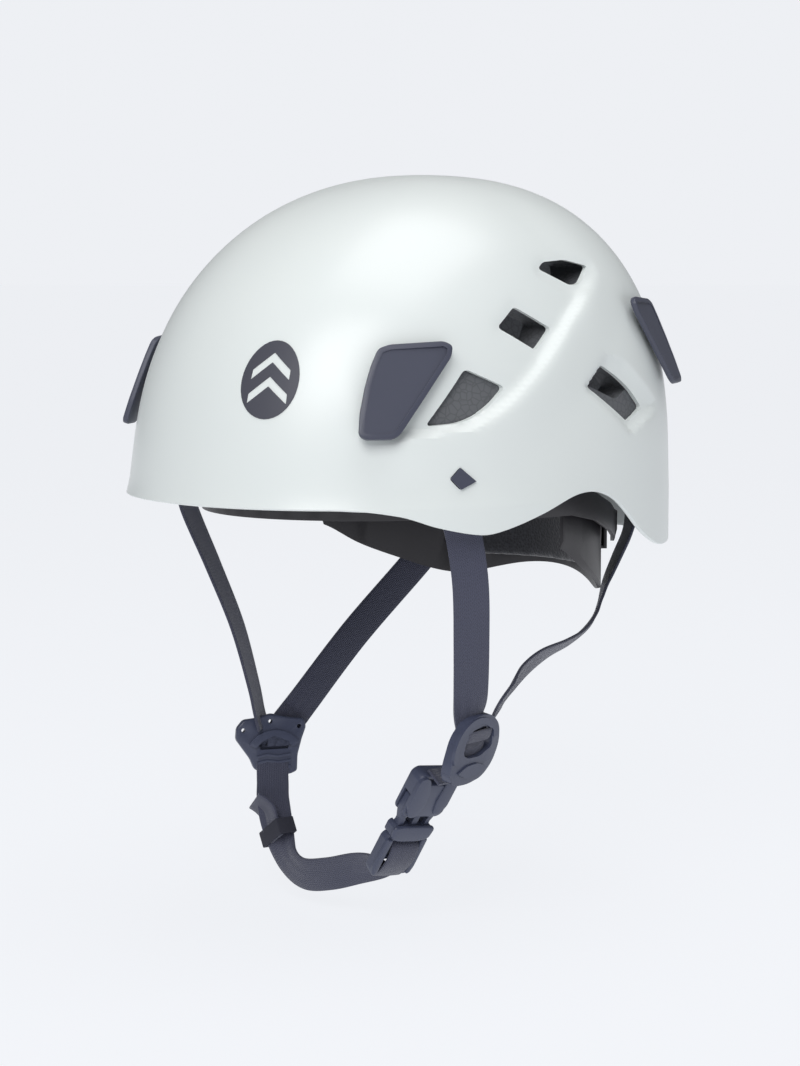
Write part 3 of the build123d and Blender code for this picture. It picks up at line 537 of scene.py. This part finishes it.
# ---------------------------------------------------------------- moulded parts from the model
def copied(node, name):
    """A copy of a model node as a piece, merged and with flat faces joined up."""
    piece = NODES[node].copy()
    piece.data = NODES[node].data.copy()
    piece.parent = None
    for key in list(piece.keys()):
        del piece[key]
    bpy.context.scene.collection.objects.link(piece)
    piece.name = piece.data.name = name
    piece.matrix_world = Matrix.Identity(4)
    edit(piece, lambda: bpy.ops.mesh.remove_doubles(threshold=1e-5),
         lambda: bpy.ops.mesh.dissolve_limited(angle_limit=radians(1.5)),
         lambda: bpy.ops.mesh.normals_make_consistent(inside=False))
    return piece


def moulded(node, body, made, slot, edge_mm):
    """Replaces a model node by a copy with moulded edges."""
    piece = copied(node, f"{node}_moulded")
    refine(piece, "BEVEL", width=edge_mm / 1000, segments=2, limit_method="ANGLE",
           angle_limit=radians(32), use_clamp_overlap=True)
    refine(piece, "TRIANGULATE")
    smooth(piece, 38)
    finish(piece, made)
    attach(piece, body)
    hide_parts(node)


# Headlamp clips: a plate that stands off the shell at its foot, with a raised rim round a facetted face.
CLIP_SPOTS = {"front": (81, -82, 50), "rear": (88, 76, 68)}
CLIP_OUTLINE = ((-9, 18.5), (-4, 20.2), (20, 21.6), (23.8, 19.5), (22.8, 14.5), (10, -3.5), (-1.5, -19.5),
                (-5, -21.6), (-17, -21.6), (-19.6, -19.5), (-18.6, -10), (-15.6, 2), (-12.4, 11.5))
STUD_SPOT = (6, 12)
CLIP_THICK, CLIP_STAND, CLIP_LEAN = 2.6, 1.2, 4.0
RIM_BAND, RIM_STEP, FACE_LEAN = 2.4, 0.7, 1.6


def headlamp_clip(end, side):
    """A clip at the front or rear; side is 1 on the wearer's left, -1 on the right."""
    flip = -1 if end == "rear" else 1
    name = f"{end}_clip_{'left' if side > 0 else 'right'}"
    stud = Matrix.Translation(mm(STUD_SPOT[0] * flip, STUD_SPOT[1], CLIP_STAND))
    seat = on_shell(*CLIP_SPOTS[end]) @ stud @ Matrix.Rotation(radians(-CLIP_LEAN), 4, "X")
    outline = [((x - STUD_SPOT[0]) * flip, y - STUD_SPOT[1]) for x, y in CLIP_OUTLINE][::flip]
    plate = prism(f"{name}_plate", outline, CLIP_THICK, 1.5, Matrix.Identity(4), arc=3)
    refine(plate, "BEVEL", width=0.0005, segments=2, limit_method="ANGLE", angle_limit=radians(25))
    sunk = Matrix.Rotation(radians(FACE_LEAN * flip), 4, "Y") @ Matrix.Translation(
        mm(0, 0, CLIP_THICK - RIM_STEP))
    cut(plate, prism("clip_pocket", drawn_in(outline, RIM_BAND), 3 * CLIP_THICK, 0.4, sunk, arc=3),
        solver="MANIFOLD")
    place(plate, seat if side > 0 else MIRRORED @ seat)
    outward(plate)
    smooth(plate, 30)
    finish(plate, CLIP_PLASTIC)
    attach(plate, name)
    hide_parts(name)


for end in CLIP_SPOTS:
    for side in (1, -1):
        headlamp_clip(end, side)

MOULDED = (  # node, body, material, slot, rounding of its edges
    ("buckle_socket", "harness", ACETAL, "buckle", 1.5),
    ("buckle_frame", "buckle_plug", ACETAL, "buckle", 0.9),
    ("buckle_prong_front", "prong_front", ACETAL, "buckle", 0.4),
    ("buckle_prong_rear", "prong_rear", ACETAL, "buckle", 0.4),
    ("nape_cradle", "suspension", CRADLE_PLASTIC, "suspension", 0.7),
    ("adjuster_housing", "suspension", CRADLE_PLASTIC, "suspension", 0.8),
    ("adjuster_cover", "suspension", CRADLE_PLASTIC, "suspension", 0.7),
    ("dial", "dial", CRADLE_PLASTIC, "suspension", 0.6),
    ("headband", "helmet", CRADLE_PLASTIC, "suspension", 0.5),
    ("temple_link_left", "suspension", CRADLE_PLASTIC, "suspension", 0.4),
    ("temple_link_right", "suspension", CRADLE_PLASTIC, "suspension", 0.4),
    ("arm_left", "arm_left", CRADLE_PLASTIC, "suspension", 0.3),
    ("arm_right", "arm_right", CRADLE_PLASTIC, "suspension", 0.3),
)
for row in MOULDED:
    moulded(*row)


def blended(piece, edge_mm, steps=3):
    """Rounds every moulded edge of a built-up piece."""
    refine(piece, "BEVEL", width=edge_mm / 1000, segments=steps, limit_method="ANGLE",
           angle_limit=radians(35))
    refine(piece, "TRIANGULATE")
    smooth(piece, 40)


def yoke(name, seat, outline, thick, rounding, cuts, raised, edge_mm):
    """A moulded yoke: a plate with openings (outline, rounding, from, depth) and raised parts."""
    piece = prism(f"{name}_moulded", outline, thick, rounding, Matrix.Translation(mm(0, 0, -thick / 2)))
    refine(piece, "BEVEL", width=edge_mm / 1000, segments=4, limit_method="ANGLE",
           angle_limit=radians(50))
    for how, shapes in (("UNION", raised), ("DIFFERENCE", cuts)):
        for corners, radius, low, depth in shapes:
            tool = prism("yoke_tool", corners, depth, radius, Matrix.Translation(mm(0, 0, low)))
            cut(piece, tool, how, "MANIFOLD")
    blended(piece, 0.35, 2)
    place(piece, seat)
    outward(piece)
    smooth(piece, 40)
    finish(piece, ACETAL)
    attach(piece, "harness")
    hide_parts(name)


def arc_band(middle, radius, width, start_deg, end_deg):
    """Outline of a band along a slightly flattened arc, angles in degrees."""
    turns = [radians(start_deg + (end_deg - start_deg) * k / (BAND_POINTS - 1))
             for k in range(BAND_POINTS)]
    outer, inner = ([(middle[0] + reach * cos(t), middle[1] + BAND_FLAT * reach * sin(t)) for t in turns]
                    for reach in (radius, radius - width))
    return outer + inner[::-1]


BAND_POINTS = 14
BAND_FLAT = 0.9


# Right yoke: a shield with ears. A raised arch crosses it, over an opening and a ribbed panel.
RIGHT_SEAT = local((-69.5, -21.5, -131), (0.47, 0.88, 0), (0.88, -0.47, 0.05))
SHIELD = ((-18, 3), (-17.5, 8.5), (-14, 12.5), (-8, 13), (0, 15), (8.5, 13), (16.5, 12), (17.8, 8),
          (15.5, 2), (13.2, -6), (12.8, -14), (9, -15.5), (-5, -14.5), (-9, -12), (-11, -7))
EAR_SPOTS = ((-14.2, 7.4), (-0.5, 11.2), (14, 8.2))
EAR_HOLE_RADIUS = 1.2
EAR_HOLES = [[(x + EAR_HOLE_RADIUS * cos(k), y + EAR_HOLE_RADIUS * sin(k)) for k in range(6)]
             for x, y in EAR_SPOTS]
RIDGES = [((-7.5, -5.5 - 3 * k), (-2.5, -4.6 - 3 * k), (3, -5.6 - 3 * k), (9.5, -4.8 - 3 * k),
           (9.5, -6 - 3 * k), (3, -6.8 - 3 * k), (-2.5, -5.8 - 3 * k), (-7.5, -6.7 - 3 * k)) for k in range(3)]
yoke("right_yoke", RIGHT_SEAT, SHIELD, 4.0, 1.2,
     [(hole, 0.4, -4, 8) for hole in EAR_HOLES]
     + [(((-6, 1.2), (1, 4.2), (8.5, 1.2), (8.5, -2.6), (-6, -2.6)), 0.8, 0.4, 4)],
     [(arc_band((1, -6), 14.5, 4.2, 28, 152), 0.8, 1.0, 2.4)]
     + [(ridge, 0.2, 1.4, 1.4) for ridge in RIDGES], 1.1)

# Left yoke: an egg-shaped ring with a thick rim, a window on the webbing and a leaf-shaped ridge
# below it.
LEFT_SEAT = local((71, -26, -114), (-0.15, 0.98, 0), (0.97, 0.15, -0.18))
EGG = ((-18.5, -7), (-15.5, 6.5), (-8, 14.5), (0, 16.5), (9, 15.8), (16.5, 10), (18.3, 1), (15, -8),
       (8, -14), (-3, -16), (-13, -15.5), (-17.5, -12.5))
WINDOW = ((-9.5, -1.5), (-9, 4), (-5, 9.5), (4, 11), (11.5, 8.5), (12.5, 0), (4, -3.5), (-5, -3.5))
LEAF = ((-13, -9.5), (-6, -6.6), (2, -6.4), (9, -8.5), (3, -11.8), (-6, -12.6))
yoke("left_yoke", LEFT_SEAT, EGG, 5.0, 3.2, [(WINDOW, 1.6, -4, 8)],
     [(arc_band((-0.5, 0), 17.2, 3.4, 20, 200), 0.8, 1.6, 1.6), (LEAF, 1.2, 1.8, 1.6)], 1.7)


# The foam: its vents are moulded wider than the shell's, so that only the shell's own edge shows.
FOAM_OPEN = {
    "middle": ((-24, 88.5), (1, 78), (-11.5, 63.5), (-37, 76.5)),
    "upper": ((-2, 103), (7, 109), (22, 110), (42, 104), (28, 92), (17, 92)),
    "rear": ((22, 62), (42, 55), (50, 48), (38, 43), (12, 52)),
}
FOAM_SHRINK = 0.972                # room for the shell's set-in walls
FOAM_MIDDLE = mm(0, APEX_Y, 30)
foam = copied("foam_liner", "foam_crown")
place(foam, Matrix.Translation(FOAM_MIDDLE) @ Matrix.Diagonal((FOAM_SHRINK,) * 3 + (1,))
      @ Matrix.Translation(-FOAM_MIDDLE))
for name, corners in FOAM_OPEN.items():
    cut(foam, side_cutter(f"{name}_foam_cutter", corners, 2.0))
smooth(foam, 35)
finish(foam, FOAM)
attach(foam, "helmet")
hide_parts("foam_liner")


# ---------------------------------------------------------------- straps
WEB_WIDTH = 16.0
WEB_THICK = 1.4
STRAPS = {
    "front_strap_left": (((91, -57.5, -1.5), (0.4, 0.9, 0)), ((91.5, -53, -14), (0.6, 0.8, 0)),
                         ((90, -47, -36), (0.7, 0.71, 0)), ((83, -39, -64), (0.6, 0.8, 0)),
                         ((76, -32, -88), (0.45, 0.9, 0)), ((72.5, -29.5, -99), (0.1, 0.98, 0)),
                         ((71.6, -27, -108), (-0.1, 0.98, 0)), ((71.5, -26.5, -113), (-0.15, 0.98, 0))),
    "front_strap_right": (((-91, -57.5, -1.5), (0.4, -0.9, 0)), ((-91.5, -54, -14), (0.35, -0.9, 0)),
                          ((-87, -43, -42), (0.4, -0.9, 0)), ((-81, -33, -72), (0.45, -0.9, 0)),
                          ((-75, -28, -101), (0.5, -0.86, 0)), ((-73, -26, -115), (0.52, -0.85, 0)),
                          ((-71.5, -24.5, -123), (0.5, -0.86, 0))),
    "rear_strap_left": (((46, 113.5, -2), (1, -0.4, 0)), ((52, 108.5, -14), (0.9, -0.5, 0)),
                        ((52.5, 104.5, -26), (0.85, -0.6, 0)), ((48, 101.5, -39), (0.8, -0.6, 0)),
                        ((45, 98, -50), (0.75, -0.65, 0)), ((46, 92, -60), (0.7, -0.7, 0.2)),
                        ((48, 84, -68), (0.7, -0.6, 0.4)), ((51, 69, -74.5), (0.8, -0.3, 0.5)),
                        ((55, 50, -78), (0.8, 0, 0.6)), ((61, 27, -81.5), (0.6, 0, 0.8)),
                        ((65, 11, -87), (0.4, 0.2, 0.9)), ((69, -1, -93.5), (0.2, 0.5, 0.8)),
                        ((71, -10, -99), (0.1, 0.6, 0.7))),
    "rear_strap_right": (((-46, 113.5, -2), (1, 0.4, 0)), ((-57, 106, -16), (0.8, 0.6, 0)),
                         ((-65, 91, -35), (0.6, 0.8, 0.1)), ((-66, 76, -49), (0.3, 0.7, -0.6)),
                         ((-67, 34, -81), (0.25, 0.62, -0.74)), ((-67, -1, -111), (0.3, 0.6, -0.74)),
                         ((-68, -8, -118), (0.35, 0.6, -0.72)), ((-68.5, -14, -123.5), (0.4, 0.7, -0.6))),
    "chin_strap": (((21, -29, -174.5), (0.12, 0.95, -0.3)), ((14, -30, -177), (0.05, 0.62, -0.78)),
                   ((2, -31.5, -180), (0, 0.3, -0.95)), ((-16, -33, -185.5), (0, 0.12, -0.98)),
                   ((-34, -32.5, -188.5), (-0.05, 0.1, -0.95)), ((-47, -31, -183.5), (-0.6, 0, -0.75)),
                   ((-56, -29, -171), (-0.72, -0.45, -0.5)), ((-62, -27, -158), (-0.55, -0.82, -0.15)),
                   ((-65, -24.5, -149.5), (-0.47, -0.88, 0)), ((-67.5, -22.5, -140), (-0.47, -0.88, 0))),
    "short_strap": (((60, -28, -131), (0.15, 0.98, -0.1)), ((52.8, -28, -125.2), (0.12, 0.987, -0.112))),
}
# The free end lies on the chin strap inside its keeper, then curls away: places from the keeper's middle.
KEEPER = local((-55.5, -29.85, -171.9), (-0.8, 0.2, -0.5), (-0.5, 0.1, 0.85))
TAIL_SPOTS = ((0, 2.3, -4), (0, 2.3, 4), (0, 2.4, 10.5), (0.4, 4.2, 14.5), (1.0, 7.4, 18))
STATION_STEP = 1.6
ACROSS_STEPS = 8
WEB_CROWN = 0.35                   # how far a strap's middle stands above its edges
CRINKLE_PITCH, CRINKLE_FADE = 3.4, 14.0


def seated(seat, spot):
    """A spot given on a seat, as a place on the helmet in millimetres."""
    return tuple((seat @ mm(*spot)) * 1000)


STRAPS["strap_tail"] = [(seated(KEEPER, spot), (-0.8, 0.2, -0.5)) for spot in TAIL_SPOTS]


def curve_through(points, t):
    """Catmull-Rom through points; t runs from 0 to the last point's number."""
    k = min(int(t), len(points) - 2)
    f = t - k
    before = points[max(k - 1, 0)]
    a, b = points[k], points[k + 1]
    after = points[min(k + 2, len(points) - 1)]
    return 0.5 * (2 * a + (b - before) * f + (2 * before - 5 * a + 4 * b - after) * f * f
                  + (3 * a - before - 3 * b + after) * f**3)


def webbing(name, stations, width=WEB_WIDTH, ripple=0.0):
    """A flat strap through stations of (middle, width direction), with a UV map in millimetres.
    The ripple, where there is one, dies away from the strap's start."""
    middles = [Vector(p) for p, _ in stations]
    sides = [Vector(d).normalized() for _, d in stations]
    length = sum((b - a).length for a, b in zip(middles, middles[1:]))
    rows = max(int(length / STATION_STEP), 4)
    strap = start("grid", name, x_subdivisions=ACROSS_STEPS, y_subdivisions=rows, size=1.0, calc_uvs=True)
    places = {}
    for vertex in strap.data.vertices:
        u, v = vertex.co.x, vertex.co.y + 0.5
        t = v * (len(middles) - 1)
        middle, side = curve_through(middles, t), curve_through(sides, t)
        run = (curve_through(middles, min(t + 0.02, len(middles) - 1))
               - curve_through(middles, max(t - 0.02, 0)))
        side = (side - run.normalized() * side.dot(run.normalized())).normalized()
        face = run.cross(side).normalized()
        crown = WEB_CROWN * (1 - (2 * u) ** 2)
        crinkle = (ripple * sin(v * length * 2 * pi / CRINKLE_PITCH + 2 * u)
                   * exp(-v * length / CRINKLE_FADE))
        places[vertex.index] = (u * width, v * length)
        vertex.co = (middle + side * u * width + face * (crown + crinkle)) / 1000
    layer = strap.data.uv_layers.active
    layer.name = "UVMap"
    for loop in strap.data.loops:
        layer.data[loop.index].uv = places[loop.vertex_index]
    refine(strap, "SOLIDIFY", thickness=WEB_THICK / 1000, offset=0.0)
    refine(strap, "BEVEL", width=0.00045, segments=2, limit_method="ANGLE", angle_limit=radians(50))
    smooth(strap, 40)
    finish(strap, NYLON)
    return strap


# Webbing seen in the left yoke's window: one layer folded over another.
YOKE_FOLDS = {"yoke_fold_back": (((1, 12, -0.6), (1, 4, -0.2), (1, -4, -1.2)), 17.0),
              "yoke_fold_front": (((1.5, 9, 1.6), (1.5, 6.5, 1.9), (1.5, 3.6, 0.9)), 18.5)}
for name, (spots, width) in YOKE_FOLDS.items():
    across = LEFT_SEAT.to_3x3() @ Vector((1, 0, 0))
    fold = webbing(name, [(seated(LEFT_SEAT, spot), tuple(across)) for spot in spots], width=width)
    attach(fold, "harness")

# The chin strap's turn round the ladder bar, its end hanging out below.
BUCKLE_SEAT = local((36, -29, -152), (0.12, 0.987, -0.112), (0.843, -0.161, -0.513))
BAR_TURN = ((0.5, -11.6, -1), (0.5, -13.2, 3.0), (0.5, -18, 4.4), (0.5, -23, 4.2), (0.5, -28.5, 2.6),
            (0.5, -33, 0.4))
across = BUCKLE_SEAT.to_3x3() @ Vector((1, 0, 0))
turn = webbing("bar_turn", [(seated(BUCKLE_SEAT, spot), tuple(across)) for spot in BAR_TURN])
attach(turn, "buckle_plug")

# Shaped shoulders of the buckle: a thumb pad over the front prong and a bright collar.
SHOULDERS = (  # piece, body, outline, from, depth, rounding, edge
    ("buckle_thumb_pad", "harness",
     ((-12, 27.5), (-9.5, 29.5), (-6.5, 28.5), (-3.5, 22), (-2.5, 13), (-4.5, 6.5), (-9, 6), (-12, 12)),
     3.0, 2.6, 1.6, 1.1),
    ("buckle_back_pad", "harness",
     ((5, 28.5), (9.5, 29.5), (12, 26.5), (12, 12), (9.5, 6.5), (5.5, 7), (4.2, 15)),
     3.0, 1.8, 1.4, 0.8),
    ("buckle_collar_swell", "buckle_plug",
     ((-12, -1.2), (-7, -0.6), (7, -0.6), (12, -1.2), (11, -8), (5, -9.6), (-6, -9.6), (-11, -8)),
     2.2, 2.6, 1.8, 1.1),
    ("buckle_arm_swell", "buckle_plug",
     ((-12, -9), (-8.6, -9), (-8.6, -28), (-9.5, -31), (-11.5, -30), (-12.4, -26)),
     1.4, 2.8, 1.0, 1.0),
    ("buckle_arm_back", "buckle_plug",
     ((8.8, -9), (12, -9), (12.2, -26), (11.4, -30), (9.5, -31), (8.8, -28)),
     1.4, 2.2, 1.0, 0.8),
)
for name, body, corners, low, depth, rounding, edge in SHOULDERS:
    swell = prism(name, corners, depth, rounding, BUCKLE_SEAT @ Matrix.Translation(mm(0, 0, low)))
    blended(swell, edge)
    finish(swell, ACETAL)
    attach(swell, body)

CRINKLED = {"front_strap_left": 0.25}     # straps that ripple below their anchor, and how high
LOOSE_ENDS = {  # straps baked in place and left unattached: for each, the two bodies it runs between and two places along it
    "front_strap_left": ("helmet", "harness", (91, -57, 0), (88, -44, -45)),
    "front_strap_right": ("helmet", "harness", (-91, -57, 0), (-86, -42, -45)),
    "rear_strap_left": ("helmet", "harness", (46, 113, -4), (48, 84, -68)),
    "rear_strap_right": ("helmet", "harness", (-46, 113, -4), (-67, 40, -76)),
    "chin_strap": ("buckle_plug", "harness", (16, -30, -184), (-20, -33, -192)),
}
for name, stations in STRAPS.items():
    strap = webbing(f"{name}_web", stations, ripple=CRINKLED.get(name, 0.0))
    if name in LOOSE_ENDS:
        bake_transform(strap)
    else:
        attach(strap, "harness")
    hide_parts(name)

moulded("strap_keeper", "keeper", ELASTIC, "elastic", 0.5)


# ---------------------------------------------------------------- pads
PAD_GRAIN = 2.2                    # spacing of the skin's vertices
PAD_SWELL = 0.0009                 # the furthest the skin may stand out, in metres
CLOTH_FRAMES = 14


def blow_out(piece):
    """Lets the skin go slack and blows it out slightly, by a pressed cloth run."""
    alone(piece)
    cloth = piece.modifiers.new("skin", "CLOTH")
    settings = cloth.settings
    settings.use_pressure = True
    settings.uniform_pressure_force = 1.2
    settings.mass = 0.15
    settings.tension_stiffness = settings.compression_stiffness = 40
    settings.bending_stiffness = 2
    settings.effector_weights.gravity = 0
    cloth.point_cache.frame_start, cloth.point_cache.frame_end = 1, CLOTH_FRAMES
    rest = [v.co.copy() for v in piece.data.vertices]
    for step in range(1, CLOTH_FRAMES + 1):
        bpy.context.scene.frame_set(step)
    bpy.ops.object.modifier_apply(modifier="skin")
    bpy.context.scene.frame_set(1)
    for vertex, before in zip(piece.data.vertices, rest):
        moved = vertex.co - before
        if moved.length > PAD_SWELL:
            vertex.co = before + moved.normalized() * PAD_SWELL


def pad(node, body):
    """A foam pad in knit: the model's solid, given a slack skin that sits full."""
    piece = copied(node, f"{node}_knit")
    refine(piece, "REMESH", mode="VOXEL", voxel_size=PAD_GRAIN / 1000)
    blow_out(piece)
    refine(piece, "SMOOTH", iterations=3, factor=0.5)
    smooth(piece, 60)
    finish(piece, KNIT)
    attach(piece, body)
    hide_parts(node)


pad("brow_pad", "helmet")
pad("nape_pad", "suspension")


# ---------------------------------------------------------------- mark on the forehead
FOREHEAD_SLOPE = 0.93              # height gained for each millimetre up the forehead


def wrap_on_shell(piece, x, y, z):
    """Wraps a flat piece (millimetres from its middle, height along Z) onto the shell round a place."""
    middle = atan2(y - APEX_Y, x)
    for vertex in piece.data.vertices:
        u, v, w = (c * 1000 for c in vertex.co)
        level = z + v * FOREHEAD_SLOPE
        angle = middle + u / dome_radius(middle, z)
        vertex.co = (dome_point(angle, level) + dome_normal(angle, level) * w) / 1000
    piece.data.update()


def oval(width, height, count=40):
    """Corners of an oval."""
    turns = [2 * pi * k / count for k in range(count)]
    return [(width / 2 * cos(t), height / 2 * sin(t)) for t in turns]


# A printed oval with two chevrons left bare.
mark = prism("forehead_mark", oval(27, 36), 0.3, 0, Matrix.Identity(4))
for low in (-9, 2):
    chevron = [(-9, low - 2), (0, low + 6), (9, low - 2),
               (9, low + 2.5), (0, low + 10.5), (-9, low + 2.5)]
    cut(mark, prism("chevron_cutter", chevron, 2, 0.4, Matrix.Translation(mm(0, 0, -1))))
edit(mark, lambda: bpy.ops.mesh.quads_convert_to_tris(),
     lambda: bpy.ops.mesh.subdivide(number_cuts=2))
wrap_on_shell(mark, 38, -118, 55)
smooth(mark, 40)
finish(mark, INK)
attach(mark, "helmet")


# ---------------------------------------------------------------- everything else keeps its model shape
PLAIN = {
    "foam_liner": FOAM, "clip_studs": CLIP_PLASTIC, "temple_pins": STEEL, "housing_screws": STEEL,
    "click_spring": STEEL, "dial_screw": STEEL,
}
for name, node in NODES.items():
    finish(node, PLAIN.get(name, CLIP_PLASTIC if "anchor" in name else CRADLE_PLASTIC))

# ---------------------------------------------------------------- room, light and camera
# A table of opal acrylic lit from below, inside a pale tent: floor and surround keep one even tone.
TENT_WHITE = "#edeff3"
TENT_REACH = 30.0                  # metres
FLOOR_GAP = 0.004                  # metres under the helmet's lowest strap
floor_z = CAD_BOX[0][2] - FLOOR_GAP
floor = start("plane", "floor", size=2 * TENT_REACH, location=(0, 0, floor_z))
bpy.ops.object.transform_apply(location=True)
opal, _, _ = material("opal_acrylic", "#4c4d50", 0.9, Emission_Color=linear(TENT_WHITE),
                      Emission_Strength=0.965)
finish(floor, opal)
tent = start("uv_sphere", "tent", segments=48, ring_count=24, radius=TENT_REACH)
edit(tent, bpy.ops.mesh.flip_normals)
cloth_glow, _, _ = material("tent_cloth", "#000000", 1.0, Emission_Color=linear(TENT_WHITE),
                            Emission_Strength=1.0)
finish(tent, cloth_glow)
tent.visible_diffuse = tent.visible_glossy = tent.visible_transmission = tent.visible_shadow = False

world = bpy.data.worlds.new("studio")
bpy.context.scene.world = world
world.use_nodes = True
background = world.node_tree.nodes["Background"]
background.inputs["Color"].default_value = linear(TENT_WHITE)
background.inputs["Strength"].default_value = 0.21


def softbox(name, spot, watts):
    """A square softbox at a spot in millimetres, turned to the helmet."""
    data = bpy.data.lights.new(name, "AREA")
    data.shape, data.size, data.size_y, data.energy = "RECTANGLE", SOFTBOX_SIZE, SOFTBOX_SIZE, watts
    made = bpy.data.objects.new(name, data)
    bpy.context.scene.collection.objects.link(made)
    made.location = mm(*spot)
    made.rotation_euler = mm(*spot).to_track_quat("Z", "Y").to_euler()


SOFTBOX_SIZE = 1.2                 # metres
softbox("key_softbox", (950, -1500, 1250), 24.5)
softbox("top_softbox", (250, 100, 1500), 11)

AIM = (0, -0.9, -22.9)
AZIMUTH, ELEVATION, DISTANCE = 45.0, 6.0, 1243.0
SENSOR_WIDTH = 36.0
LENS_RATIO = 3.26375               # focal length over sensor width
around, up = radians(AZIMUTH), radians(ELEVATION)
toward = Vector((sin(around) * cos(up), -cos(around) * cos(up), sin(up)))
camera_data = bpy.data.cameras.new("camera")
camera_data.sensor_fit = "HORIZONTAL"
camera_data.sensor_width = SENSOR_WIDTH
camera_data.lens = LENS_RATIO * SENSOR_WIDTH
camera = bpy.data.objects.new("camera", camera_data)
bpy.context.scene.collection.objects.link(camera)
camera.location = mm(*AIM) + toward * DISTANCE / 1000
camera.rotation_euler = toward.to_track_quat("Z", "Y").to_euler()
bpy.context.scene.camera = camera
bpy.context.scene.view_settings.view_transform = "Standard"
